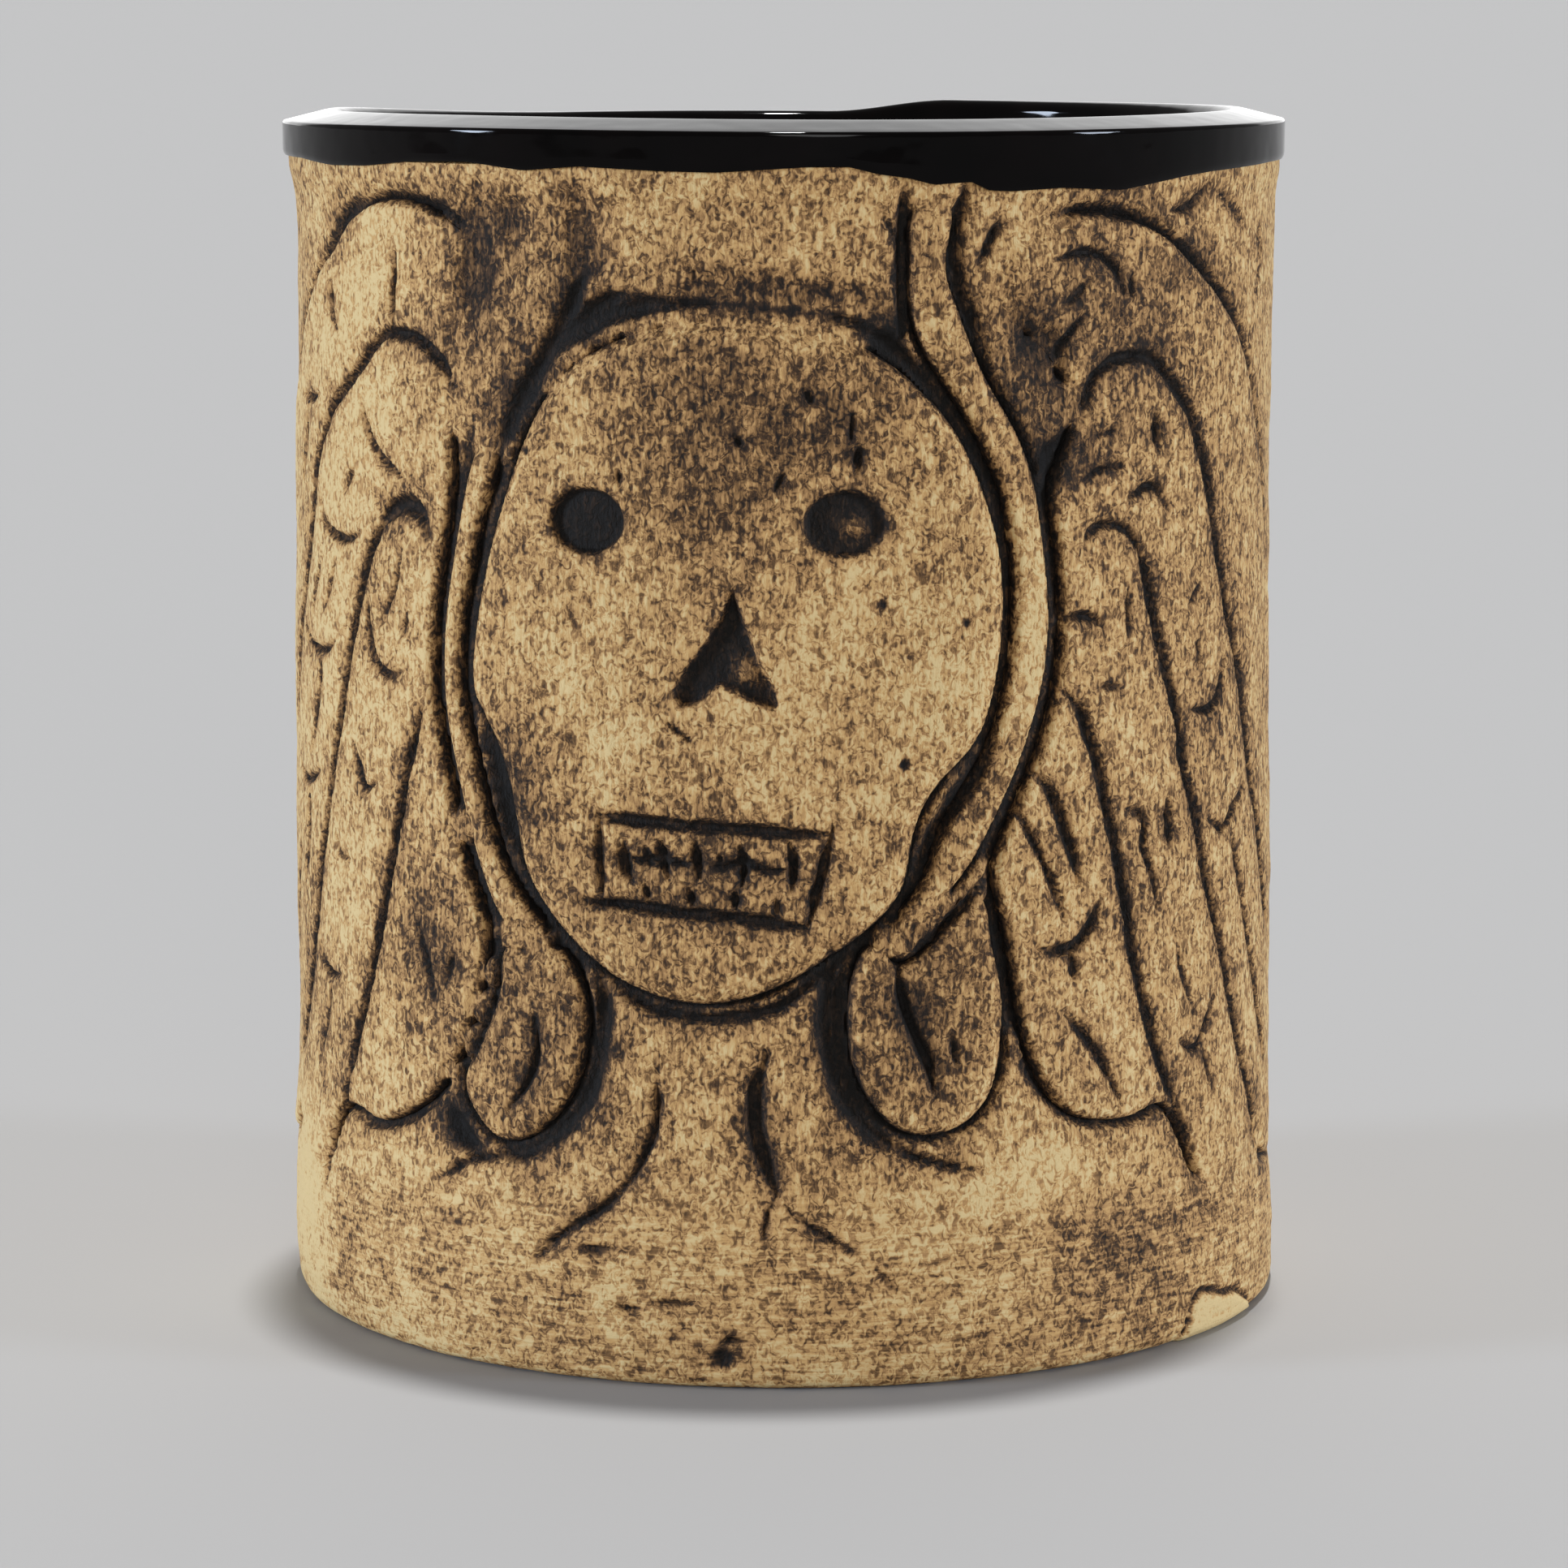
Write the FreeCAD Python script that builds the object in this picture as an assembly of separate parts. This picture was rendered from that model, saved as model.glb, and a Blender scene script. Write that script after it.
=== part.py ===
"""A slab-built stoneware mug with a winged skull in relief, as the clay pieces and glaze coats it is made of.

Millimetres, +Z up. The origin is the centre of the flat foot, and the skull faces -Y.
Everything on the wall is placed by two numbers: across, the distance round the outside from the
front centre line (positive to +X), and up, the height above the foot.
"""
import FreeCAD, Part

import math
import os

Vector = FreeCAD.Vector
Vector2d = FreeCAD.Base.Vector2d

# Driving dimensions of the pot
HEIGHT = 102.5
FOOT_RADIUS = 43.3          # widest part of the base slab
WALL_RADIUS = 41.7          # outside of the wall slab between the foot and the collar
WALL_THICKNESS = 4.1
COLLAR_RADIUS = 42.6        # uncarved strip of clay under the rim
LIP_WIDTH = 4.0             # flat-topped lip with rounded corners
LIP_CORNER = 1.2
BASE_THICKNESS = 5.5
GLAZE = 0.45                # thickness of a fired glaze coat

# Heights that divide the wall
CARVED_FROM = 11.5
CARVED_TO = 96.2
COLLAR_FROM = 97.6
GLAZE_BAND_FROM = 98.0      # where the rim glaze stops on the outside
LINER_TO = 97.0             # where the rim glaze meets the liner on the inside

# Foot
FOOT_EDGE = 2.6             # radius of the worn lower edge
COIL_RADIUS = 5.0           # concave fillet of clay between the wall and the base

# Relief
UNROLLED_RADIUS = 42.5      # radius at which the distance across is measured
RELIEF = 0.8                # height of the wings, hood bands and lappets above the wall
SKULL_RELIEF = 1.25
SOCKET_FLOOR = 0.25         # clay left under the eyes, nose and mouth lines
CUT_CLEARANCE = 1.0         # how far a cutter reaches past the surface it cuts

INNER_RADIUS = WALL_RADIUS - WALL_THICKNESS
LIP_INNER_RADIUS = COLLAR_RADIUS - LIP_WIDTH
CORNER_HEIGHT = HEIGHT - GLAZE - LIP_CORNER
OUTER_CORNER = (COLLAR_RADIUS - LIP_CORNER, CORNER_HEIGHT)      # centres of the lip's two corners
INNER_CORNER = (LIP_INNER_RADIUS + LIP_CORNER, CORNER_HEIGHT)
THROAT_HEIGHT = 88.0        # below this the inside of the wall is straight

# Outlines of the relief, as (across, up) points that a smooth closed curve runs through
SKULL = [
    (-4.5, 86.7), (-10.0, 86.1), (-15.0, 84.4), (-20.0, 80.6), (-23.0, 75.0), (-25.4, 68.5),
    (-27.2, 60.5), (-27.2, 56.0), (-25.3, 52.6), (-23.6, 48.0), (-22.2, 42.2), (-19.2, 37.8),
    (-15.0, 34.2), (-10.5, 32.2), (-6.5, 31.7), (-2.0, 32.6), (2.6, 34.9), (7.2, 38.1),
    (9.8, 41.2), (10.7, 45.4), (12.8, 49.4), (15.8, 52.4), (17.7, 57.0), (18.4, 62.0),
    (18.2, 67.5), (16.6, 73.0), (13.6, 78.5), (9.3, 82.7), (5.0, 85.2), (0.5, 86.5),
]
NOSE = [
    (-4.1, 65.4), (-5.6, 62.2), (-7.6, 59.6), (-9.0, 57.3), (-8.3, 56.0), (-6.7, 56.1),
    (-5.0, 57.5), (-3.4, 56.6), (-1.6, 55.9), (-0.4, 56.0), (-0.9, 57.7), (-2.7, 61.6),
]
EYES = {"left": (-16.1, 70.6, 3.15, 2.65), "right": (4.9, 70.6, 3.35, 2.6)}

LEFT_HOOD_BAND = [
    (-25.6, 77.4), (-24.9, 75.4), (-26.2, 71.3), (-27.4, 67.0), (-28.3, 63.0), (-28.7, 59.0),
    (-28.5, 55.5), (-27.4, 51.5), (-26.2, 47.5), (-24.9, 43.8), (-23.4, 40.9), (-21.2, 38.4),
    (-20.2, 36.9), (-21.6, 36.1), (-24.0, 37.0), (-25.6, 39.3), (-27.0, 42.5), (-28.2, 46.0),
    (-29.2, 49.6), (-30.1, 53.0), (-30.6, 57.0), (-30.4, 62.0), (-29.5, 67.0), (-28.5, 71.5),
    (-27.0, 76.0),
]
RIGHT_HOOD_BAND = [
    (12.2, 96.0), (10.4, 95.2), (10.1, 92.0), (10.1, 88.6), (11.0, 85.0), (13.3, 81.3),
    (15.9, 77.4), (18.0, 73.2), (19.1, 68.5), (19.4, 63.5), (18.9, 57.8), (17.6, 53.4),
    (15.6, 49.8), (13.4, 46.6), (12.1, 43.4), (10.9, 40.9), (9.4, 38.6), (9.5, 37.1),
    (10.9, 37.2), (13.0, 39.6), (15.2, 42.3), (17.3, 45.6), (19.4, 49.6), (21.2, 54.0),
    (22.5, 59.0), (22.7, 63.6), (22.0, 69.5), (20.7, 75.2), (18.4, 79.4), (16.2, 83.0),
    (14.3, 87.6), (13.3, 91.5), (13.9, 94.8),
]
LEFT_LAPPET = [
    (-18.4, 35.3), (-17.1, 33.2), (-16.5, 30.4), (-16.7, 27.4), (-17.5, 24.7), (-19.2, 22.0),
    (-21.5, 20.0), (-24.3, 19.2), (-26.8, 20.6), (-28.4, 23.0), (-28.3, 25.2), (-27.1, 27.6),
    (-25.9, 30.4), (-25.2, 33.0), (-24.3, 35.2), (-22.4, 35.3), (-20.4, 35.8),
]
RIGHT_LAPPET = [
    (6.4, 36.2), (5.4, 33.0), (5.2, 30.0), (5.5, 27.0), (6.7, 24.0), (8.4, 22.0), (10.5, 20.9),
    (13.0, 20.8), (15.3, 21.6), (17.0, 23.2), (18.0, 25.5), (18.4, 28.2), (18.5, 31.0),
    (18.1, 34.0), (17.4, 37.0), (16.6, 39.8), (15.3, 40.2), (13.3, 37.8), (11.2, 35.6),
    (9.2, 34.9), (7.7, 36.2),
]
LEFT_WING = [
    (-28.1, 93.0), (-31.2, 94.7), (-35.0, 95.6), (-39.0, 95.4), (-43.5, 93.9), (-47.0, 91.6),
    (-52.0, 88.0), (-56.5, 83.4), (-61.0, 76.5), (-65.0, 68.0), (-68.0, 58.0), (-70.0, 47.0),
    (-71.0, 36.0), (-71.0, 26.0), (-69.0, 18.0), (-65.0, 13.8), (-61.0, 14.6), (-58.6, 16.6),
    (-56.0, 13.4), (-51.8, 12.2), (-48.6, 13.8), (-45.8, 18.6), (-43.0, 19.4), (-39.5, 18.8),
    (-35.5, 20.0), (-32.0, 22.2), (-29.6, 25.0), (-28.2, 27.8), (-27.0, 30.6), (-26.2, 33.4),
    (-26.0, 36.0), (-26.6, 38.4), (-28.0, 41.4), (-29.2, 45.4), (-30.4, 49.6), (-31.4, 53.4),
    (-31.9, 58.0), (-31.5, 63.2), (-30.6, 68.0), (-29.8, 72.5), (-29.6, 77.0), (-29.6, 81.0),
    (-28.8, 85.0), (-27.6, 89.4),
]
RIGHT_WING = [
    (21.2, 94.0), (18.6, 92.6), (17.4, 89.8), (18.8, 86.8), (21.6, 84.6), (23.8, 82.0),
    (24.9, 79.0), (24.2, 76.2), (22.9, 73.6), (23.2, 69.8), (23.8, 66.0), (24.0, 61.5),
    (23.6, 57.6), (22.4, 53.4), (20.8, 49.6), (18.9, 45.8), (17.6, 42.2), (18.2, 38.8),
    (19.0, 35.4), (19.6, 32.0), (20.3, 28.8), (21.3, 26.0), (23.0, 23.2), (25.4, 21.2),
    (28.6, 20.4), (32.0, 20.3), (35.4, 20.8), (37.8, 18.8), (39.8, 15.4), (42.6, 12.8),
    (46.6, 12.2), (50.6, 13.2), (53.2, 15.2), (55.6, 13.4), (59.6, 12.2), (63.6, 14.0),
    (66.3, 20.0), (66.0, 30.0), (64.2, 40.0), (61.6, 51.0), (58.5, 61.5), (55.2, 70.6),
    (51.6, 78.2), (47.6, 84.0), (43.2, 87.8), (38.4, 91.0), (33.4, 93.6), (28.6, 94.8),
    (24.6, 94.9),
]

# The mouth is a box of four carved lines, with a line where the teeth meet and a gap between each pair
MOUTH_CORNERS = [(-14.8, 46.9), (3.7, 45.7), (2.0, 38.3), (-14.5, 39.9)]
BITE_LINE = [(-12.6, 43.4), (0.9, 42.6)]
TOOTH_GAPS = 5
TOOTH_GAP_HEIGHT = 2.6
MOUTH_LINE_WIDTH = 0.7


def revolved(edges):
    """The solid that a closed profile of edges in the XZ plane sweeps round the pot's axis."""
    face = Part.Face(Part.Wire(edges))
    return face.revolve(Vector(0, 0, 0), Vector(0, 0, 1), 360)


def profile_point(radius, height):
    return Vector(radius, 0, height)


def line(start, end):
    """A straight profile edge between two (radius, height) points."""
    return Part.makeLine(profile_point(*start), profile_point(*end))


def arc(start, middle, end):
    """A profile arc through three (radius, height) points."""
    return Part.Arc(profile_point(*start), profile_point(*middle), profile_point(*end)).toShape()


def polyline(points):
    return [line(a, b) for a, b in zip(points, points[1:])]


def around(centre, radius, degrees):
    """The (radius, height) point on a profile circle, at an angle from straight outwards."""
    turn = math.radians(degrees)
    return (centre[0] + radius * math.cos(turn), centre[1] + radius * math.sin(turn))


def closed_curve(points):
    """A smooth closed curve through (across, up) points, in a cylinder's own two parameters."""
    curve = Part.Geom2d.BSplineCurve2d()
    curve.interpolate([Vector2d(*point) for point in points], PeriodicFlag=True)
    for number, pole in enumerate(curve.getPoles(), 1):
        curve.setPole(number, on_cylinder(pole.x, pole.y))
    return curve


def on_cylinder(across, up):
    """The point (across, up) in a cylinder's two parameters: an angle and a height."""
    return Vector2d(front_angle(across), up)


def front_angle(across):
    """The cylinder's angle for a distance across. The front, -Y, is at three quarters of a turn."""
    return 1.5 * math.pi + across / UNROLLED_RADIUS


def cylinder_surface(radius):
    surface = Part.Cylinder()
    surface.Radius = radius
    return surface


def smooth_loop(points, radius):
    """The edges of a smooth outline laid on a cylinder, one edge for each point."""
    curve = closed_curve(points)
    first, last = curve.FirstParameter, curve.LastParameter
    stops = [first + (last - first) * i / len(points) for i in range(len(points) + 1)]
    surface = cylinder_surface(radius)
    return [curve.toShape(surface, a, b) for a, b in zip(stops, stops[1:])]


def straight_loop(points, radius):
    """The edges of an outline with straight sides laid on a cylinder."""
    turned = [on_cylinder(*point) for point in points]
    surface = cylinder_surface(radius)
    return [
        Part.Geom2d.Line2dSegment(a, b).toShape(surface)
        for a, b in zip(turned, turned[1:] + turned[:1])
    ]


def radial_block(loop, points, inner, outer):
    """A solid between two radii whose sides run straight out from the axis through an outline."""
    loops = [loop(points, radius) for radius in (inner, outer)]
    faces = []
    for radius, edges in zip((inner, outer), loops):
        face = Part.Face(cylinder_surface(radius), Part.Wire(edges))
        face.validate()
        faces.append(face)
    sides = [Part.makeRuledSurface(a, b) for a, b in zip(*loops)]
    shell = Part.Shell(faces + sides)
    shell.sewShape(1e-3)
    solid = Part.Solid(shell)
    if solid.Volume < 0:
        solid.reverse()
    return solid


def relief_pad(points, height=RELIEF):
    """A pad of clay laid on the wall slab."""
    return radial_block(smooth_loop, points, WALL_RADIUS, WALL_RADIUS + height)


def wall_slab():
    """The rolled slab: straight where it is carved, wider at the foot and the collar, with a soft lip."""
    foot_top = (WALL_RADIUS, CARVED_FROM)
    foot_bottom = (FOOT_RADIUS, BASE_THICKNESS)
    foot_middle = (WALL_RADIUS + 0.28 * (FOOT_RADIUS - WALL_RADIUS), 0.5 * (CARVED_FROM + BASE_THICKNESS))
    outside = [
        arc(foot_bottom, foot_middle, foot_top),
        *polyline([foot_top, (WALL_RADIUS, CARVED_TO), (COLLAR_RADIUS, COLLAR_FROM),
                   around(OUTER_CORNER, LIP_CORNER, 0)]),
    ]
    inside = polyline([*wall_inside(), (INNER_RADIUS, BASE_THICKNESS), foot_bottom])
    return revolved(outside + over_lip(LIP_CORNER) + inside)


def over_lip(corner):
    """The profile over the lip, from outside to inside: a rounded corner, a flat top and another."""
    return [
        arc(*(around(OUTER_CORNER, corner, turn) for turn in (0, 45, 90))),
        line(around(OUTER_CORNER, corner, 90), around(INNER_CORNER, corner, 90)),
        arc(*(around(INNER_CORNER, corner, turn) for turn in (90, 135, 180))),
    ]


def back_over_lip(corner):
    """The same profile from inside to outside."""
    return [
        arc(*(around(INNER_CORNER, corner, turn) for turn in (180, 135, 90))),
        line(around(INNER_CORNER, corner, 90), around(OUTER_CORNER, corner, 90)),
        arc(*(around(OUTER_CORNER, corner, turn) for turn in (90, 45, 0))),
    ]


def wall_inside():
    """The inside of the wall slab, from the lip down to the straight part."""
    return [
        (LIP_INNER_RADIUS, CORNER_HEIGHT),
        (LIP_INNER_RADIUS, LINER_TO),
        (INNER_RADIUS, THROAT_HEIGHT),
    ]


def base_slab():
    """The disc that the wall stands on, with a worn lower edge and a flat foot."""
    edge_centre = (FOOT_RADIUS - FOOT_EDGE, FOOT_EDGE)
    edge = [arc(*(around(edge_centre, FOOT_EDGE, turn) for turn in (-90, -45, 0)))]
    rest = polyline([
        around(edge_centre, FOOT_EDGE, 0),
        (FOOT_RADIUS, BASE_THICKNESS),
        (0, BASE_THICKNESS),
        (0, 0),
        around(edge_centre, FOOT_EDGE, -90),
    ])
    return revolved(edge + rest)


def coil_centre():
    return (INNER_RADIUS - COIL_RADIUS, BASE_THICKNESS + COIL_RADIUS)


def base_seam_coil():
    """The coil of soft clay pressed into the inside corner, smoothed to a hollow fillet."""
    hollow = [arc(*(around(coil_centre(), COIL_RADIUS, turn) for turn in (0, -45, -90)))]
    corner = polyline([
        around(coil_centre(), COIL_RADIUS, -90),
        (INNER_RADIUS, BASE_THICKNESS),
        around(coil_centre(), COIL_RADIUS, 0),
    ])
    return revolved(hollow + corner)


def liner_glaze():
    """The coat inside: down the wall, round the fillet and across the floor."""
    thin = COIL_RADIUS - GLAZE
    clay_side = [
        *polyline([*wall_inside()[1:], around(coil_centre(), COIL_RADIUS, 0)]),
        arc(*(around(coil_centre(), COIL_RADIUS, turn) for turn in (0, -45, -90))),
        line(around(coil_centre(), COIL_RADIUS, -90), (0, BASE_THICKNESS)),
    ]
    open_side = [
        line((0, BASE_THICKNESS), (0, BASE_THICKNESS + GLAZE)),
        line((0, BASE_THICKNESS + GLAZE), around(coil_centre(), thin, -90)),
        arc(*(around(coil_centre(), thin, turn) for turn in (-90, -45, 0))),
        *polyline([
            around(coil_centre(), thin, 0),
            (INNER_RADIUS - GLAZE, THROAT_HEIGHT),
            (LIP_INNER_RADIUS - GLAZE, LINER_TO),
            (LIP_INNER_RADIUS, LINER_TO),
        ]),
    ]
    return revolved(clay_side + open_side)


def rim_glaze():
    """The coat dipped over the lip: a band outside, the round lip, and down to the liner inside."""
    outer = LIP_CORNER + GLAZE
    return revolved([
        line((COLLAR_RADIUS, GLAZE_BAND_FROM), (COLLAR_RADIUS + GLAZE, GLAZE_BAND_FROM)),
        line((COLLAR_RADIUS + GLAZE, GLAZE_BAND_FROM), around(OUTER_CORNER, outer, 0)),
        *over_lip(outer),
        line(around(INNER_CORNER, outer, 180), (LIP_INNER_RADIUS - GLAZE, LINER_TO)),
        line((LIP_INNER_RADIUS - GLAZE, LINER_TO), (LIP_INNER_RADIUS, LINER_TO)),
        line((LIP_INNER_RADIUS, LINER_TO), around(INNER_CORNER, LIP_CORNER, 180)),
        *back_over_lip(LIP_CORNER),
        line(around(OUTER_CORNER, LIP_CORNER, 0), (COLLAR_RADIUS, GLAZE_BAND_FROM)),
    ])


def socket(points, loop=smooth_loop):
    """What a carved hollow takes out of the skull, down to the thin floor."""
    inner = WALL_RADIUS + SOCKET_FLOOR
    return radial_block(loop, points, inner, WALL_RADIUS + SKULL_RELIEF + CUT_CLEARANCE)


def oval(centre_across, centre_up, half_width, half_height, count=8):
    """Points round an oval, as an outline."""
    turns = [2 * math.pi * i / count for i in range(count)]
    return [
        (centre_across + half_width * math.cos(turn), centre_up + half_height * math.sin(turn))
        for turn in turns
    ]


def carved_line(start, end, width=MOUTH_LINE_WIDTH):
    """The outline of a straight carved line, square at its ends."""
    along = (end[0] - start[0], end[1] - start[1])
    length = math.hypot(*along)
    step = (along[0] / length * width / 2, along[1] / length * width / 2)
    side = (-step[1], step[0])
    return [
        (start[0] - step[0] + side[0], start[1] - step[1] + side[1]),
        (start[0] - step[0] - side[0], start[1] - step[1] - side[1]),
        (end[0] + step[0] - side[0], end[1] + step[1] - side[1]),
        (end[0] + step[0] + side[0], end[1] + step[1] + side[1]),
    ]


def mouth_lines():
    """Every carved line of the mouth: the box, the bite line and the gaps between the teeth."""
    box = list(zip(MOUTH_CORNERS, MOUTH_CORNERS[1:] + MOUTH_CORNERS[:1]))
    (left, left_up), (right, right_up) = BITE_LINE
    gaps = []
    for i in range(TOOTH_GAPS):
        share = i / (TOOTH_GAPS - 1)
        across = left + share * (right - left)
        up = left_up + share * (right_up - left_up)
        gaps.append(((across, up - TOOTH_GAP_HEIGHT / 2), (across, up + TOOTH_GAP_HEIGHT / 2)))
    return box + [tuple(BITE_LINE)] + gaps


def skull_relief():
    """The skull: a raised pad with two eye sockets, a nose hole and a boxed row of teeth."""
    skull = relief_pad(SKULL, SKULL_RELIEF)
    for eye in EYES.values():
        skull = skull.cut(socket(oval(*eye)))
    skull = skull.cut(socket(NOSE))
    for start, end in mouth_lines():
        skull = skull.cut(socket(carved_line(start, end), straight_loop))
    return skull


SUBPARTS = {
    "wall_slab": wall_slab,
    "base_slab": base_slab,
    "base_seam_coil": base_seam_coil,
    "liner_glaze": liner_glaze,
    "rim_glaze": rim_glaze,
    "skull_relief": skull_relief,
    "left_hood_band": lambda: relief_pad(LEFT_HOOD_BAND),
    "right_hood_band": lambda: relief_pad(RIGHT_HOOD_BAND),
    "left_lappet": lambda: relief_pad(LEFT_LAPPET),
    "right_lappet": lambda: relief_pad(RIGHT_LAPPET),
    "left_wing": lambda: relief_pad(LEFT_WING),
    "right_wing": lambda: relief_pad(RIGHT_WING),
}


def main():
    os.makedirs("parts", exist_ok=True)
    for name, build in SUBPARTS.items():
        shape = build()
        shape.exportStep(f"parts/{name}.step")
        print(f"{name}: {len(shape.Solids)} solid(s), valid {shape.isValid()}, {shape.Volume:.0f} mm3")


main()
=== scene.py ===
"""Looks for a slab-built stoneware mug with a winged skull carved in low relief.

The carving is laid out on the unrolled wall: "across" is the distance round the outside from the
front centre line, positive to +X, and "up" is the height above the foot. Both are in millimetres,
and so is every length below, but for the floor's and the bumps', which are in metres. Meshes are
turned to metres as they are written.
"""

import math

import bmesh
import bpy
import numpy as np
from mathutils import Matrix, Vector, kdtree, noise


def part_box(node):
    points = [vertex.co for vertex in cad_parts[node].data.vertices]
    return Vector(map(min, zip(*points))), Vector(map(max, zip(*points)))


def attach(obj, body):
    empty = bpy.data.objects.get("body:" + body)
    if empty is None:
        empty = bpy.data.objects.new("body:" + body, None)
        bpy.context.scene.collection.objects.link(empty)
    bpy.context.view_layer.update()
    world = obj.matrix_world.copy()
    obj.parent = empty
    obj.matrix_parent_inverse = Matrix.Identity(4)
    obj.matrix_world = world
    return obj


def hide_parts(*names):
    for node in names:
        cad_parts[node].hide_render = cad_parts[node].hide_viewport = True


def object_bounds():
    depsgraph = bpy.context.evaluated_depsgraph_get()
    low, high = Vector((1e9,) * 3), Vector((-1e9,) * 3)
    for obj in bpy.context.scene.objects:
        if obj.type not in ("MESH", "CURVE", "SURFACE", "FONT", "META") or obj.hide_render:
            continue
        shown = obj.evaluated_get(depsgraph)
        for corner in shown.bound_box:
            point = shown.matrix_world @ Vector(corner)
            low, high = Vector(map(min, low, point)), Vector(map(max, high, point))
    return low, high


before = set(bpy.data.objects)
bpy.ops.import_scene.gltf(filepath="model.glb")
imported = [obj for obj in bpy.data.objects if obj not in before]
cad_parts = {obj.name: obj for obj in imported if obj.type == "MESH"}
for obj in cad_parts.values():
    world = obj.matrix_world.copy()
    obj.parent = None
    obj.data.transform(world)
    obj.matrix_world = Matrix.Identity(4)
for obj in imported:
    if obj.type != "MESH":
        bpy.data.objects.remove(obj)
cad_box = [list(corner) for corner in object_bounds()]

MM = 0.001

# ---------------------------------------------------------------- the pot's sizes

UNROLLED_RADIUS = 42.5      # radius at which "across" is measured
GROUND_RADIUS = 42.2        # uncarved surface between the relief shapes
RELIEF_FLOOR = 41.75        # where the rounded edge of a relief shape meets the wall
WING_TOP = 42.55
SKULL_TOP = 42.95
GROOVE_FLOOR = 41.45        # bottom of the groove round each relief shape
UNDER_RELIEF = 41.0         # wall surface hidden below the relief
BACK_OF_RELIEF = 40.7       # hidden back face of a relief shape
UNDER_BLEND = 1.2           # how far the wall runs on under a relief edge that flows into it
LAP_ACROSS = 125.0          # where the slab's ends overlap, near the middle of the back

high_corner = Vector(cad_box[1]) / MM
HEIGHT = high_corner.z
FOOT_RADIUS = high_corner.x
BASE_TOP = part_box("base_slab")[1].z / MM
RIM_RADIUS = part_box("rim_glaze")[1].x / MM
INSIDE_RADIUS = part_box("base_seam_coil")[1].x / MM
GLAZE = 0.45
COIL_RADIUS = 5.0
LIP_WIDTH = 4.0
LIP_SLOPE = 14.0            # degrees that the top of the lip falls towards its outer edge
LIP_EDGE = 0.28             # radius of the lip's crisp outer edge
LIP_INNER_EDGE = 1.1
FOOT_EDGE = 1.3
SHARPEST_SMOOTH = 50.0      # degrees between faces up to which their shared edge is shaded smooth

CAMERA_DISTANCE = 467.0     # from the mug's axis
CAMERA_HEIGHT = 112.87
CAMERA_PITCH = 8.45         # degrees that the camera looks down
CAMERA_LENS = 123.45

# Lights as (name, degrees from the front towards +X, degrees up, strength, spread, colour)
FAR_LIGHTS = [
    ("left_light", -75.0, 8.0, 2.7, 12.0, "#DCEAFF"),
    ("right_light", 75.0, 8.0, 2.1, 12.0, "#E2EDFF"),
    ("front_light", 8.0, 10.0, 0.60, 20.0, "#FFFFFF"),
    ("overhead_light", 165.0, 85.5, 2.75, 3.5, "#FFFFFF"),
]

# Relief shapes as (piece, CAD node, grid step, radius of the top, width of the rounded edge)
RELIEF_SHAPES = [
    ("skull", "skull_relief", 0.24, SKULL_TOP, 2.0),
    ("hood_band_left", "left_hood_band", 0.22, WING_TOP, 0.9),
    ("hood_band_right", "right_hood_band", 0.22, WING_TOP, 0.9),
    ("lappet_left", "left_lappet", 0.22, WING_TOP, 1.3),
    ("lappet_right", "right_lappet", 0.22, WING_TOP, 1.3),
    ("wing_left", "left_wing", 0.27, WING_TOP, 0.9),
    ("wing_right", "right_wing", 0.27, WING_TOP, 0.9),
]

# ---------------------------------------------------------------- carved lines
# Each line is a tool's mark and the (across, up) points it was drawn through, and tapers at both
# ends. A mark is (half width, depth, share of the stain left in it).

BROAD = (0.90, 0.72, 0.85)
DEEP = (0.56, 0.66, 0.82)
LINE = (0.42, 0.52, 0.74)
FINE = (0.30, 0.34, 0.60)
SOFT = (2.2, 0.36, 0.26)    # a broad, shallow hollow

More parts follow.
